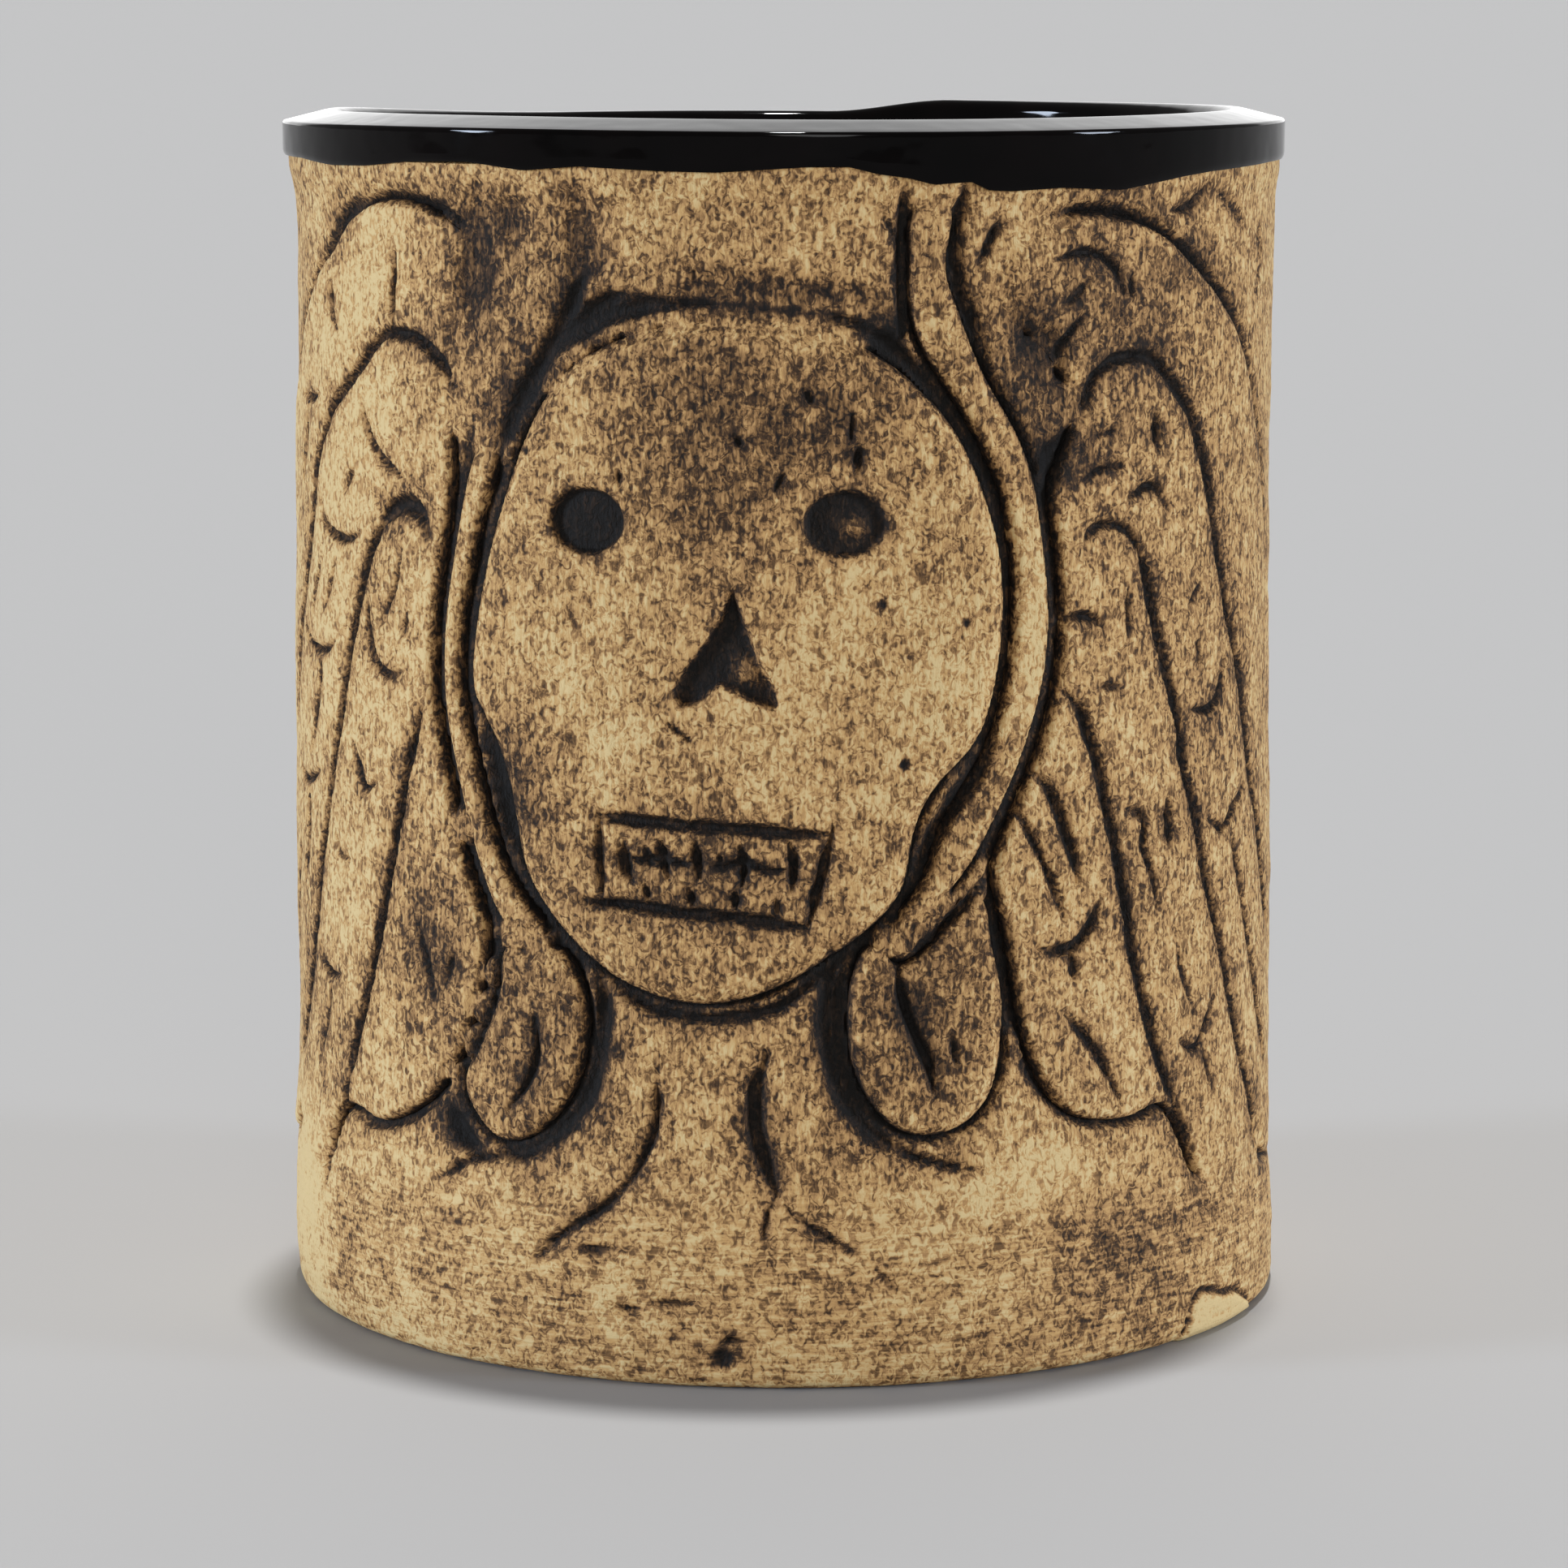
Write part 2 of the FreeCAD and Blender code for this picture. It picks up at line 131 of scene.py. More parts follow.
LEFT_WING_LINES = [
    (BROAD, [(-49.6, 90.2), (-48.1, 91.1), (-46.5, 92.1), (-45.0, 93.6), (-42.7, 94.8), (-40.0, 95.5)]),
    (LINE, [(-40.5, 95.4), (-36.9, 96.0), (-33.8, 95.8), (-31.2, 95.2), (-29.2, 94.4), (-27.3, 92.7)]),
    (LINE, [(-49.6, 90.2), (-52.3, 88.2), (-54.2, 86.3), (-56.5, 83.6), (-59.0, 79.0)]),
    (LINE, [(-36.2, 91.3), (-36.6, 88.6), (-36.7, 85.5)]),
    (LINE, [(-46.9, 88.6), (-46.7, 86.3), (-45.6, 84.6)]),
    (DEEP, [(-29.4, 80.9), (-30.8, 82.8), (-32.7, 84.2), (-35.0, 84.8), (-37.7, 84.6), (-39.6, 83.4),
            (-41.5, 81.7), (-43.8, 80.2), (-46.2, 78.6), (-48.1, 76.7), (-50.0, 74.4), (-51.2, 72.1),
            (-52.3, 68.6), (-53.5, 65.5), (-55.4, 61.3), (-57.7, 56.7), (-60.0, 50.0)]),
    (LINE, [(-55.0, 78.8), (-52.3, 78.5), (-50.0, 79.0)]),
    (LINE, [(-53.5, 77.8), (-54.3, 74.5), (-55.5, 71.0)]),
    (LINE, [(-41.2, 79.4), (-40.8, 77.5), (-39.2, 75.2), (-36.9, 73.8), (-35.0, 72.8)]),
    (LINE, [(-49.6, 70.2), (-48.5, 68.2), (-46.5, 67.5), (-43.8, 67.3), (-41.7, 68.0)]),
    (FINE, [(-42.1, 74.0), (-43.5, 72.1), (-44.6, 70.5)]),
    (BROAD, [(-32.3, 68.6), (-33.1, 70.2), (-35.0, 70.9), (-36.9, 70.3), (-38.5, 68.6)]),
    (DEEP, [(-37.6, 69.8), (-38.5, 68.6), (-40.0, 66.7), (-41.2, 64.0), (-42.3, 61.3), (-43.5, 58.6),
            (-44.6, 55.2), (-45.8, 51.7), (-47.3, 47.5), (-48.8, 43.2), (-50.4, 39.4), (-51.7, 34.4),
            (-53.3, 30.2), (-55.0, 26.3), (-56.9, 23.2), (-58.8, 21.3)]),
    (LINE, [(-40.4, 62.5), (-40.2, 59.8), (-39.2, 57.5), (-37.3, 56.6), (-35.4, 57.1)]),
    (FINE, [(-35.4, 67.1), (-36.2, 64.4), (-37.3, 62.5), (-38.3, 60.5)]),
    (FINE, [(-34.8, 62.0), (-35.4, 59.8)]),
    (FINE, [(-45.6, 66.1), (-47.3, 63.2), (-48.8, 60.9)]),
    (FINE, [(-49.6, 64.8), (-51.2, 62.1), (-52.0, 60.0)]),
    (LINE, [(-54.2, 58.8), (-52.3, 57.7), (-50.0, 57.4), (-47.7, 57.8), (-46.5, 58.6)]),
    (LINE, [(-49.8, 57.3), (-50.4, 54.0), (-51.9, 50.5), (-52.7, 48.6)]),
    (LINE, [(-57.3, 46.7), (-55.4, 45.7), (-52.7, 46.1), (-50.4, 47.1)]),
    (LINE, [(-53.7, 45.2), (-54.2, 40.9), (-55.2, 37.0)]),
    (DEEP, [(-33.1, 54.4), (-34.2, 51.3), (-35.0, 49.0), (-36.2, 44.8), (-37.3, 40.5), (-38.5, 36.3),
            (-40.0, 32.1), (-41.5, 28.2), (-43.1, 24.4), (-44.2, 21.3)]),
    (LINE, [(-43.6, 22.8), (-44.2, 21.3), (-45.4, 18.6), (-47.3, 15.5), (-48.8, 13.2), (-49.6, 10.5)]),
    (LINE, [(-43.1, 50.3), (-41.9, 48.2), (-41.0, 46.7), (-39.2, 47.5)]),
    (FINE, [(-46.7, 42.5), (-45.8, 40.7), (-43.8, 40.3)]),
    (LINE, [(-50.4, 32.1), (-49.6, 30.7), (-47.7, 30.0), (-45.6, 30.3)]),
    (FINE, [(-47.5, 29.6), (-48.6, 26.0), (-50.0, 22.5)]),
    (FINE, [(-33.5, 36.3), (-32.3, 32.8), (-31.4, 30.2)]),
    (FINE, [(-29.2, 34.4), (-30.3, 31.8)]),
    (LINE, [(-58.0, 40.0), (-60.5, 33.0), (-62.5, 26.0), (-63.5, 19.0)]),
    (LINE, [(-61.0, 68.0), (-63.5, 60.0), (-65.5, 50.0), (-67.0, 40.0)]),
]

LEFT_EDGE_LINES = [
    (LINE, [(-44.6, 19.2), (-42.7, 18.8), (-40.0, 18.2), (-36.9, 19.0), (-33.8, 20.2), (-31.5, 21.7)]),
    (BROAD, [(-30.6, 21.6), (-29.6, 20.4), (-28.3, 18.9), (-26.6, 18.2)]),
    (BROAD, [(-15.4, 34.0), (-15.0, 31.5), (-15.2, 28.5), (-15.9, 25.5), (-17.3, 22.5), (-19.6, 20.2),
             (-22.3, 18.6), (-25.4, 17.8)]),
    (LINE, [(-23.5, 18.2), (-28.1, 17.1), (-30.0, 15.9), (-31.5, 15.2)]),
    (LINE, [(-21.2, 29.8), (-21.0, 27.0), (-21.9, 24.4), (-23.7, 22.0)]),
    (LINE, [(-25.4, 38.0), (-24.9, 34.5), (-25.1, 31.5), (-27.0, 27.3), (-28.8, 24.1)]),
]

HOOD_LINES = [
    (SOFT, [(-17.0, 97.2), (-16.4, 94.0), (-16.3, 91.3), (-17.2, 88.3)]),
    (BROAD, [(-16.4, 90.6), (-17.6, 88.0), (-19.3, 85.0), (-21.4, 81.2), (-23.3, 77.8)]),
    (BROAD, [(-8.5, 88.1), (-12.3, 87.6), (-15.5, 86.6), (-18.5, 84.2)]),
    (BROAD, [(-12.5, 88.6), (-15.2, 87.8), (-17.4, 86.2)]),
    (DEEP, [(7.7, 85.8), (5.0, 86.7), (2.8, 87.1)]),
    (FINE, [(4.0, 86.9), (2.3, 87.2), (-1.0, 87.6), (-5.5, 87.9)]),
    (LINE, [(-3.6, 87.8), (-7.5, 88.0), (-12.0, 87.5)]),
    (SOFT, [(9.0, 86.8), (4.0, 88.0), (-2.0, 88.6), (-9.0, 88.8)]),
    (BROAD, [(5.6, 86.3), (7.6, 85.2), (9.9, 83.4), (12.2, 81.1), (13.8, 79.6)]),
    (FINE, [(5.5, 87.9), (3.0, 89.0), (0.6, 89.3)]),
    (FINE, [(-2.4, 88.8), (-3.4, 90.0)]),
    (FINE, [(-6.8, 89.0), (-7.6, 91.0)]),
    (DEEP, [(9.4, 84.0), (9.6, 86.7), (9.5, 89.4), (9.4, 92.5), (9.6, 97.4)]),
    (LINE, [(8.6, 89.6), (9.2, 92.4), (7.9, 95.0)]),
    (DEEP, [(14.8, 97.4), (14.3, 95.2), (13.9, 92.5), (14.2, 89.8), (15.2, 87.1), (16.6, 84.0)]),
    (LINE, [(18.1, 94.8), (16.9, 92.8), (15.8, 90.5)]),
    (LINE, [(22.7, 82.1), (23.8, 84.8), (25.8, 86.7)]),
    (LINE, [(-29.0, 71.0), (-28.3, 74.4), (-27.4, 77.4)]),
    (SOFT, [(-26.4, 97.0), (-26.8, 91.2), (-27.4, 86.0)]),
    (SOFT, [(-23.0, 96.6), (-23.2, 92.2)]),
    (SOFT, [(19.0, 86.5), (21.5, 84.0), (23.2, 80.6)]),
    (BROAD, [(-26.4, 54.5), (-26.0, 52.8), (-24.7, 49.2), (-23.6, 45.3), (-22.7, 42.4)]),
    (BROAD, [(17.4, 52.4), (16.0, 50.1), (13.2, 46.6), (11.5, 43.4), (10.6, 40.8)]),
    (BROAD, [(-24.6, 75.6), (-23.3, 78.6), (-20.9, 82.6), (-18.2, 85.4), (-15.5, 87.1), (-11.8, 87.9)]),
]

# Stretches of a relief shape's outline that flow into the ground with no line: (across, up, reach)
BLENDED_EDGES = [
    (-27.5, 91.5, 4.2), (-28.6, 85.5, 4.0), (-29.2, 80.0, 3.4), (-26.0, 77.6, 2.6),
    (12.0, 97.0, 2.4), (10.0, 36.6, 1.2), (-20.6, 36.2, 0.9), (20.8, 94.4, 3.4), (17.6, 91.0, 2.8),
    (18.6, 87.4, 2.4), (22.6, 84.2, 1.8), (24.8, 79.6, 2.0), (-30.0, 24.4, 1.0), (43.0, 12.6, 2.4),
    (46.6, 12.2, 3.0), (50.6, 13.2, 3.0), (54.0, 14.6, 2.4), (-48.8, 13.6, 2.0), (-52.0, 12.2, 3.0),
    (-56.0, 13.4, 2.6), (-21.4, 36.1, 1.3), (9.8, 37.0, 1.5), (-25.4, 33.0, 1.3),
    (-26.4, 30.0, 1.5), (-27.6, 27.0, 1.5), (-23.5, 36.4, 1.5), (-19.8, 82.4, 1.8),
    (-17.6, 84.6, 1.8), (-15.2, 86.2, 1.8), (-12.0, 87.0, 2.0), (-8.5, 87.6, 2.2),
    (-4.8, 87.7, 2.2), (-1.2, 87.4, 2.2), (2.2, 86.8, 2.0), (5.2, 85.6, 1.8), (-28.7, 44.9, 1.5),
    (8.4, 36.6, 1.3), (11.3, 37.6, 1.4), (13.4, 39.4, 1.4), (15.8, 40.5, 1.3),
]

NECK_LINES = [
    (LINE, [(-10.4, 26.3), (-10.4, 24.0), (-10.6, 21.3), (-11.9, 18.2), (-13.5, 15.9)]),
    (LINE, [(-12.6, 17.0), (-13.5, 15.9), (-15.8, 14.0), (-18.1, 12.5), (-19.6, 11.3), (-21.0, 9.6)]),
    (BROAD, [(-1.5, 27.5), (-2.3, 24.8), (-2.3, 21.7), (-1.5, 19.0), (-0.6, 16.5)]),
    (LINE, [(-1.6, 27.9), (-2.6, 24.0), (-2.2, 20.4), (-0.7, 16.0)]),
    (FINE, [(-0.6, 16.2), (-1.2, 15.0), (-1.7, 12.5)]),
    (FINE, [(-0.4, 15.6), (0.8, 14.6), (3.1, 13.0), (5.8, 11.3)]),
    (DEEP, [(-14.5, 33.0), (-10.8, 31.3), (-6.6, 30.6), (-2.7, 31.0), (-0.4, 31.6), (3.0, 34.3),
            (6.0, 36.4)]),
    (FINE, [(7.3, 10.0), (9.2, 8.2)]),
    (FINE, [(-17.0, 11.2), (-12.7, 11.1)]),
    (FINE, [(-10.6, 7.2), (-8.9, 7.3), (-7.4, 7.2)]),
    (FINE, [(-13.9, 6.6), (-11.5, 6.5)]),
    (FINE, [(-5.2, 4.1), (-4.2, 4.3), (-2.9, 4.2)]),
]

RIGHT_EDGE_LINES = [
    (BROAD, [(3.9, 36.2), (3.5, 33.5), (3.3, 30.0), (4.0, 26.0), (5.8, 22.5), (8.1, 20.4),
             (10.2, 19.6)]),
    (BROAD, [(5.0, 35.6), (4.6, 33.0), (4.4, 30.0), (5.1, 26.2), (6.8, 23.1), (9.0, 21.0)]),
    (LINE, [(17.6, 42.6), (16.0, 40.6), (14.2, 38.8), (12.1, 37.1), (10.6, 35.8), (9.2, 34.6)]),
    (LINE, [(7.4, 20.6), (9.6, 19.4), (12.7, 18.4), (16.5, 17.5)]),
    (DEEP, [(9.2, 34.8), (9.6, 32.0), (10.8, 29.0), (11.9, 26.3), (12.3, 24.0)]),
    (FINE, [(13.7, 29.0), (14.2, 26.3)]),
    (LINE, [(19.6, 27.5), (20.8, 25.4), (22.6, 23.0), (24.6, 21.1)]),
]

RIGHT_WING_LINES = [
    (DEEP, [(24.0, 56.3), (25.6, 54.8), (26.5, 52.5), (27.5, 50.0), (28.5, 46.3), (29.6, 42.5),
            (30.8, 37.8), (31.5, 34.4), (32.7, 30.9), (33.8, 27.5), (35.4, 23.6), (37.3, 20.2)]),
    (LINE, [(36.2, 22.0), (37.3, 20.2), (38.8, 17.5), (40.0, 14.4)]),
    (DEEP, [(21.2, 49.8), (22.7, 48.2), (24.0, 45.5), (25.0, 42.8), (25.4, 40.5)]),
    (LINE, [(19.2, 47.4), (20.4, 45.5), (21.9, 42.8), (23.1, 40.2), (24.0, 37.8)]),
    (DEEP, [(21.5, 35.5), (23.5, 35.1), (25.4, 35.5), (26.9, 37.1), (27.5, 38.6)]),
    (LINE, [(24.8, 35.2), (25.2, 32.5)]),
    (LINE, [(24.2, 29.8), (26.5, 27.5), (28.5, 24.8), (30.0, 22.1)]),
    (LINE, [(26.0, 68.0), (26.5, 69.2), (28.3, 69.7), (30.4, 69.2), (31.9, 67.7), (32.9, 65.5)]),
    (DEEP, [(31.9, 67.7), (32.9, 65.5), (33.8, 62.5), (34.8, 59.4), (36.0, 56.3), (37.3, 52.8),
            (38.1, 49.0), (39.6, 45.5), (40.8, 42.0), (41.9, 38.6), (43.5, 35.2), (45.4, 30.9),
            (46.9, 27.0), (48.8, 23.2), (50.4, 20.2), (51.9, 17.5), (54.2, 14.0)]),
    (LINE, [(23.3, 61.7), (24.6, 62.3), (26.5, 62.3), (28.1, 61.3)]),
    (FINE, [(30.8, 64.2), (30.8, 60.5)]),
    (FINE, [(27.7, 56.5), (29.8, 56.3)]),
    (DEEP, [(25.8, 79.4), (26.9, 81.7), (28.8, 82.9), (30.8, 83.2), (33.1, 82.9), (34.6, 82.1),
            (36.5, 80.2), (38.5, 78.2), (40.0, 75.5), (41.5, 72.5), (42.7, 69.0), (43.8, 65.5),
            (45.4, 61.7), (46.9, 58.2), (48.5, 54.4), (50.0, 50.0), (51.9, 45.2), (53.8, 41.7),
            (55.4, 37.8), (56.9, 34.8), (59.2, 32.5)]),
    (FINE, [(26.9, 76.9), (29.6, 77.3)]),
    (DEEP, [(33.8, 78.2), (34.2, 75.5)]),
    (LINE, [(30.8, 71.7), (33.8, 72.5), (35.4, 70.5)]),
    (FINE, [(25.4, 73.2), (27.7, 74.2), (30.8, 74.4)]),
    (FINE, [(38.8, 62.3), (40.4, 64.0)]),
    (FINE, [(40.0, 59.8), (40.6, 56.7)]),
    (LINE, [(39.2, 53.6), (41.5, 53.2), (43.5, 54.0), (44.6, 57.1)]),
    (LINE, [(41.9, 44.0), (43.5, 43.4), (44.8, 42.8), (46.9, 44.4), (49.0, 45.9)]),
    (LINE, [(46.2, 42.5), (48.0, 38.6), (50.0, 34.0), (51.9, 30.2), (53.8, 26.3), (56.5, 21.3)]),
    (LINE, [(30.4, 46.3), (32.7, 45.2), (32.7, 42.8), (33.8, 40.5), (34.6, 37.5)]),
    (DEEP, [(35.8, 46.3), (36.2, 42.5)]),
    (FINE, [(36.9, 35.2), (38.1, 31.3), (39.6, 27.8)]),
    (LINE, [(37.7, 25.9), (39.2, 25.0), (40.8, 25.5), (42.9, 29.0)]),
    (FINE, [(41.2, 24.8), (42.7, 20.9)]),
    (LINE, [(22.7, 94.8), (25.0, 95.1), (28.1, 94.8), (30.8, 94.4), (33.8, 93.6), (36.5, 92.3)]),
    (DEEP, [(35.2, 93.0), (36.5, 92.3), (39.2, 90.7), (41.5, 89.2), (43.8, 87.5), (46.2, 85.9),
            (48.5, 83.6), (50.4, 80.9), (51.9, 77.8), (53.8, 74.4), (55.8, 70.2), (58.0, 63.0)]),
    (LINE, [(23.1, 91.3), (26.2, 91.7), (28.8, 90.5), (30.0, 88.2)]),
    (FINE, [(30.8, 89.8), (30.8, 87.8)]),
    (FINE, [(23.1, 87.1), (26.2, 89.4)]),
    (BROAD, [(23.5, 76.8), (22.6, 75.2), (23.2, 73.4)]),
    (LINE, [(35.8, 94.8), (38.5, 95.0), (40.8, 96.7)]),
    (FINE, [(42.3, 96.3), (45.4, 94.8), (48.1, 92.8)]),
    (FINE, [(51.5, 93.2), (52.9, 89.8), (51.9, 87.5)]),
    (LINE, [(61.0, 52.0), (62.8, 42.0), (64.0, 32.0), (64.4, 22.0)]),
]

MOUTH_LINES = [
    (DEEP, [(-15.3, 46.9), (-10.0, 46.5), (-5.0, 46.2), (0.0, 45.9), (3.9, 45.7)]),
    (DEEP, [(3.9, 46.3), (3.2, 43.5), (2.6, 41.0), (1.9, 38.0)]),
    (DEEP, [(-16.5, 39.9), (-12.0, 39.7), (-8.0, 39.2), (-4.0, 39.0), (0.0, 38.4), (2.0, 38.2)]),
    (LINE, [(-15.0, 47.0), (-15.1, 44.5), (-14.9, 42.0), (-14.7, 40.0)]),
    (LINE, [(-12.9, 43.9), (-11.4, 43.4), (-9.6, 43.7), (-8.0, 43.2), (-6.6, 43.6)]),
    (LINE, [(-6.6, 43.4), (-4.8, 43.1), (-3.2, 43.5), (-1.4, 42.9), (0.8, 42.9)]),
    (DEEP, [(-13.0, 44.7), (-12.9, 43.2), (-12.3, 41.9)]),
    (DEEP, [(-9.9, 45.0), (-9.6, 43.4), (-9.3, 42.2)]),
    (DEEP, [(-7.1, 44.9), (-6.7, 42.3)]),
    (DEEP, [(-3.5, 44.7), (-3.2, 43.2), (-3.3, 41.7)]),
    (DEEP, [(0.4, 45.0), (0.8, 43.4), (0.6, 41.3)]),
    (FINE, [(-11.2, 44.5), (-10.9, 43.4)]),
    (FINE, [(-5.2, 44.2), (-4.9, 43.2)]),
    (LINE, [(-11.3, 41.5), (-10.8, 40.2)]),
    (LINE, [(-7.6, 41.2), (-7.3, 39.9)]),
    (LINE, [(-3.9, 41.0), (-3.8, 39.7)]),
    (FINE, [(-0.6, 40.6), (-0.5, 39.2)]),
]

SKULL_MARKS = [
    (FINE, [(-9.5, 54.8), (-8.5, 54.0), (-7.2, 53.0)]),
    (FINE, [(5.4, 79.3), (5.2, 76.6)]),
    (LINE, [(5.9, 76.8), (5.8, 75.0)]),
    (FINE, [(1.5, 81.2), (2.3, 80.2)]),
    (FINE, [(-4.0, 77.6), (-3.2, 76.8)]),
    (FINE, [(0.0, 74.6), (-0.8, 73.2)]),
    (FINE, [(-13.4, 74.6), (-13.2, 73.6)]),
]

ALL_LINES = (LEFT_WING_LINES + LEFT_EDGE_LINES + HOOD_LINES + NECK_LINES + RIGHT_EDGE_LINES
             + RIGHT_WING_LINES + MOUTH_LINES + SKULL_MARKS)

# Eye sockets as (across, up, radius across, radius up, depth, share of the stain), the nose hole's
# outline, pits as (across, up, radius), and torn tags and lumps as (across, up, radius, height)
SOCKETS = [
    (-16.1, 70.6, 3.15, 2.65, 0.85, 0.93),
    (4.9, 70.6, 3.4, 2.6, 0.75, 0.78),
]
NOSE = [
    (-4.1, 65.6), (-5.4, 62.6), (-7.4, 59.8), (-8.9, 57.4), (-8.4, 56.0), (-6.9, 56.1),
    (-5.0, 57.6), (-3.4, 56.7), (-1.6, 55.9), (-0.3, 55.9), (-0.9, 57.9), (-2.7, 61.8),
]
NOSE_DEPTH = 0.85
PITS = [(9.7, 51.2, 0.45), (-5.0, 2.8, 0.9), (7.8, 64.2, 0.4), (-21.6, 76.0, 0.35), (14.8, 62.5, 0.4)]
TAGS = [(-24.4, 15.4, 0.9, 0.22), (-25.6, 16.6, 0.6, 0.20), (-28.6, 17.4, 0.6, 0.22)]
LUMPS = [(-2.6, 59.0, 1.3, 0.55), (5.6, 70.5, 0.9, 0.30), (1.2, 22.5, 0.5, 0.22)]

# Where the rubbed stain lies thicker (positive) or was wiped off (negative), and where shade and
# light are painted in: painted shade beside the hood bands, in the hollow at the skull's upper left,
# beside the jaw, under the chin, on the left wing and between the left wing's tips and the lappet,
# and painted highlight along the skull's top edge and down the mug's left side:
# (across, up, radius across, radius up, amount)
STAIN_AND_PAINTED_LIGHT_PATCHES = [
    (-26.5, 86.0, 5.0, 9.0, 0.22), (-26.0, 92.5, 5.0, 4.0, 0.14), (-23.0, 82.0, 3.0, 6.0, 0.10),
    (-17.6, 86.6, 3.0, 2.4, 0.16), (8.6, 85.8, 1.7, 1.3, 0.55), (-5.0, 80.5, 10.0, 6.0, 0.28),
    (5.5, 78.0, 5.5, 6.5, 0.18), (23.0, 75.4, 3.0, 3.4, 0.38), (20.8, 83.5, 3.8, 6.5, 0.30),
    (24.0, 88.0, 7.0, 6.0, 0.12), (37.0, 87.5, 9.0, 8.0, 0.12), (38.5, 90.8, 3.0, 2.2, 0.20),
    (29.0, 75.5, 5.0, 6.0, 0.14), (12.0, 65.5, 5.0, 4.0, 0.06), (-6.0, 71.0, 7.0, 7.0, 0.22),
    (-4.0, 89.2, 12.0, 2.0, 0.10), (-24.5, 47.0, 2.0, 5.0, 0.25), (-31.5, 37.0, 4.5, 7.5, 0.22),
    (-19.6, 45.5, 2.6, 8.0, 0.16), (-22.0, 51.0, 3.0, 5.5, 0.16), (31.0, 87.0, 7.0, 6.0, 0.10),
    (-31.2, 29.0, 4.0, 7.0, 0.17), (-21.5, 29.0, 5.0, 8.0, 0.26), (12.5, 30.0, 6.0, 8.0, 0.28),
    (-44.5, 7.8, 4.2, 4.2, 0.16), (30.0, 9.0, 8.0, 5.5, 0.30), (41.0, 11.0, 5.0, 3.0, 0.15),
    (-12.0, 50.0, 4.0, 3.0, 0.03), (-7.0, 42.5, 8.0, 3.0, 0.19), (43.0, 66.0, 6.0, 14.0, 0.10),
    (-6.0, 93.5, 4.0, 4.0, 0.06), (-17.2, 92.5, 2.6, 5.5, 0.24), (12.0, 91.0, 2.0, 6.0, 0.10),
    (-4.0, 27.0, 7.0, 5.0, 0.06), (0.0, 4.0, 40.0, 2.0, 0.04), (-28.8, 20.0, 2.6, 2.6, 0.48),
    (-15.5, 57.5, 4.0, 3.0, -0.04), (-19.0, 57.5, 6.0, 7.0, 0.02), (-14.0, 66.0, 5.0, 3.0, -0.05),
    (13.5, 55.0, 5.5, 7.0, -0.14), (3.0, 52.0, 6.0, 5.0, -0.06), (-34.0, 16.0, 7.0, 3.5, -0.18),
    (17.5, 15.5, 6.0, 3.5, -0.18), (23.0, 18.5, 5.0, 3.0, -0.14), (-38.5, 90.5, 6.5, 7.0, -0.22),
    (-41.5, 79.0, 5.0, 6.0, -0.18), (-1.5, 92.5, 7.0, 4.0, 0.03), (31.0, 26.5, 3.5, 5.0, -0.14),
    (-48.0, 60.0, 9.0, 24.0, -0.22), (-41.0, 40.0, 4.0, 12.0, -0.08),
    (21.2, 60.0, 1.6, 12.0, -0.14), (-6.0, 36.0, 10.0, 3.5, 0.13), (26.0, 45.0, 3.0, 8.0, -0.06),
    (-9.0, 86.2, 12.0, 0.9, -0.16), (3.0, 85.0, 6.0, 0.9, -0.12), (52.0, 30.0, 6.0, 16.0, -0.03),
    (-56.0, 9.0, 10.0, 10.0, -0.50), (-62.0, 55.0, 6.0, 40.0, -0.14),
    (-38.0, 1.5, 12.0, 1.8, -0.16),
]

# Upper edge of a flap of clay torn and pressed down at the right of the foot
FLAP_EDGE = [
    (37.6, -0.5), (38.5, 1.3), (39.6, 3.2), (40.8, 3.8), (42.3, 3.4), (44.2, 2.8), (46.9, 2.5),
    (50.0, 1.1), (51.6, -0.5),
]

# Lower edge of the glaze on the outside, which was dipped by hand
GLAZE_EDGE = [
    (-133.5, 98.3), (-110.0, 98.5), (-80.0, 98.7), (-60.0, 98.6), (-52.3, 98.6), (-45.0, 98.2),
    (-39.2, 98.3), (-33.1, 98.8), (-26.9, 98.9), (-21.5, 98.3), (-16.5, 98.7), (-10.0, 98.4),
    (-5.4, 98.3), (2.3, 98.8), (5.0, 98.8), (7.3, 98.2), (10.0, 97.8), (11.9, 97.3), (15.0, 97.5),
    (16.5, 96.8), (18.5, 96.7), (23.1, 96.9), (29.2, 96.6), (33.1, 97.1), (36.5, 97.5),
    (40.4, 97.8), (46.2, 98.0), (53.8, 98.2), (80.0, 98.4), (110.0, 98.2), (133.5, 98.3),
]


# ---------------------------------------------------------------- measuring on the unrolled wall

def across_of(x, y):
    """Distance round the wall from the front centre line, for positions in plan."""
    return np.arctan2(x, -y) * UNROLLED_RADIUS


def ramp(low, high, value):
    """0 below low, 1 above high, and a smooth rise between them."""
    share = np.clip((value - low) / (high - low), 0.0, 1.0)
    return share * share * (3.0 - 2.0 * share)


def smooth_line(points, spacing=0.6):
    """Places along a smooth curve through the points of a carved line."""
    points = np.array(points, float)
    if len(points) < 3:
        return points
    before = 2 * points[0] - points[1]
    after = 2 * points[-1] - points[-2]
    padded = np.vstack([before, points, after])
    places = []
    for a, b, c, d in zip(padded, padded[1:], padded[2:], padded[3:]):
        count = max(1, int(np.hypot(*(c - b)) / spacing))
        for t in np.arange(count) / count:
            places.append(0.5 * (2 * b + (c - a) * t + (2 * a - 5 * b + 4 * c - d) * t ** 2
                                 + (3 * b - a - 3 * c + d) * t ** 3))
    places.append(points[-1])
    return np.array(places)


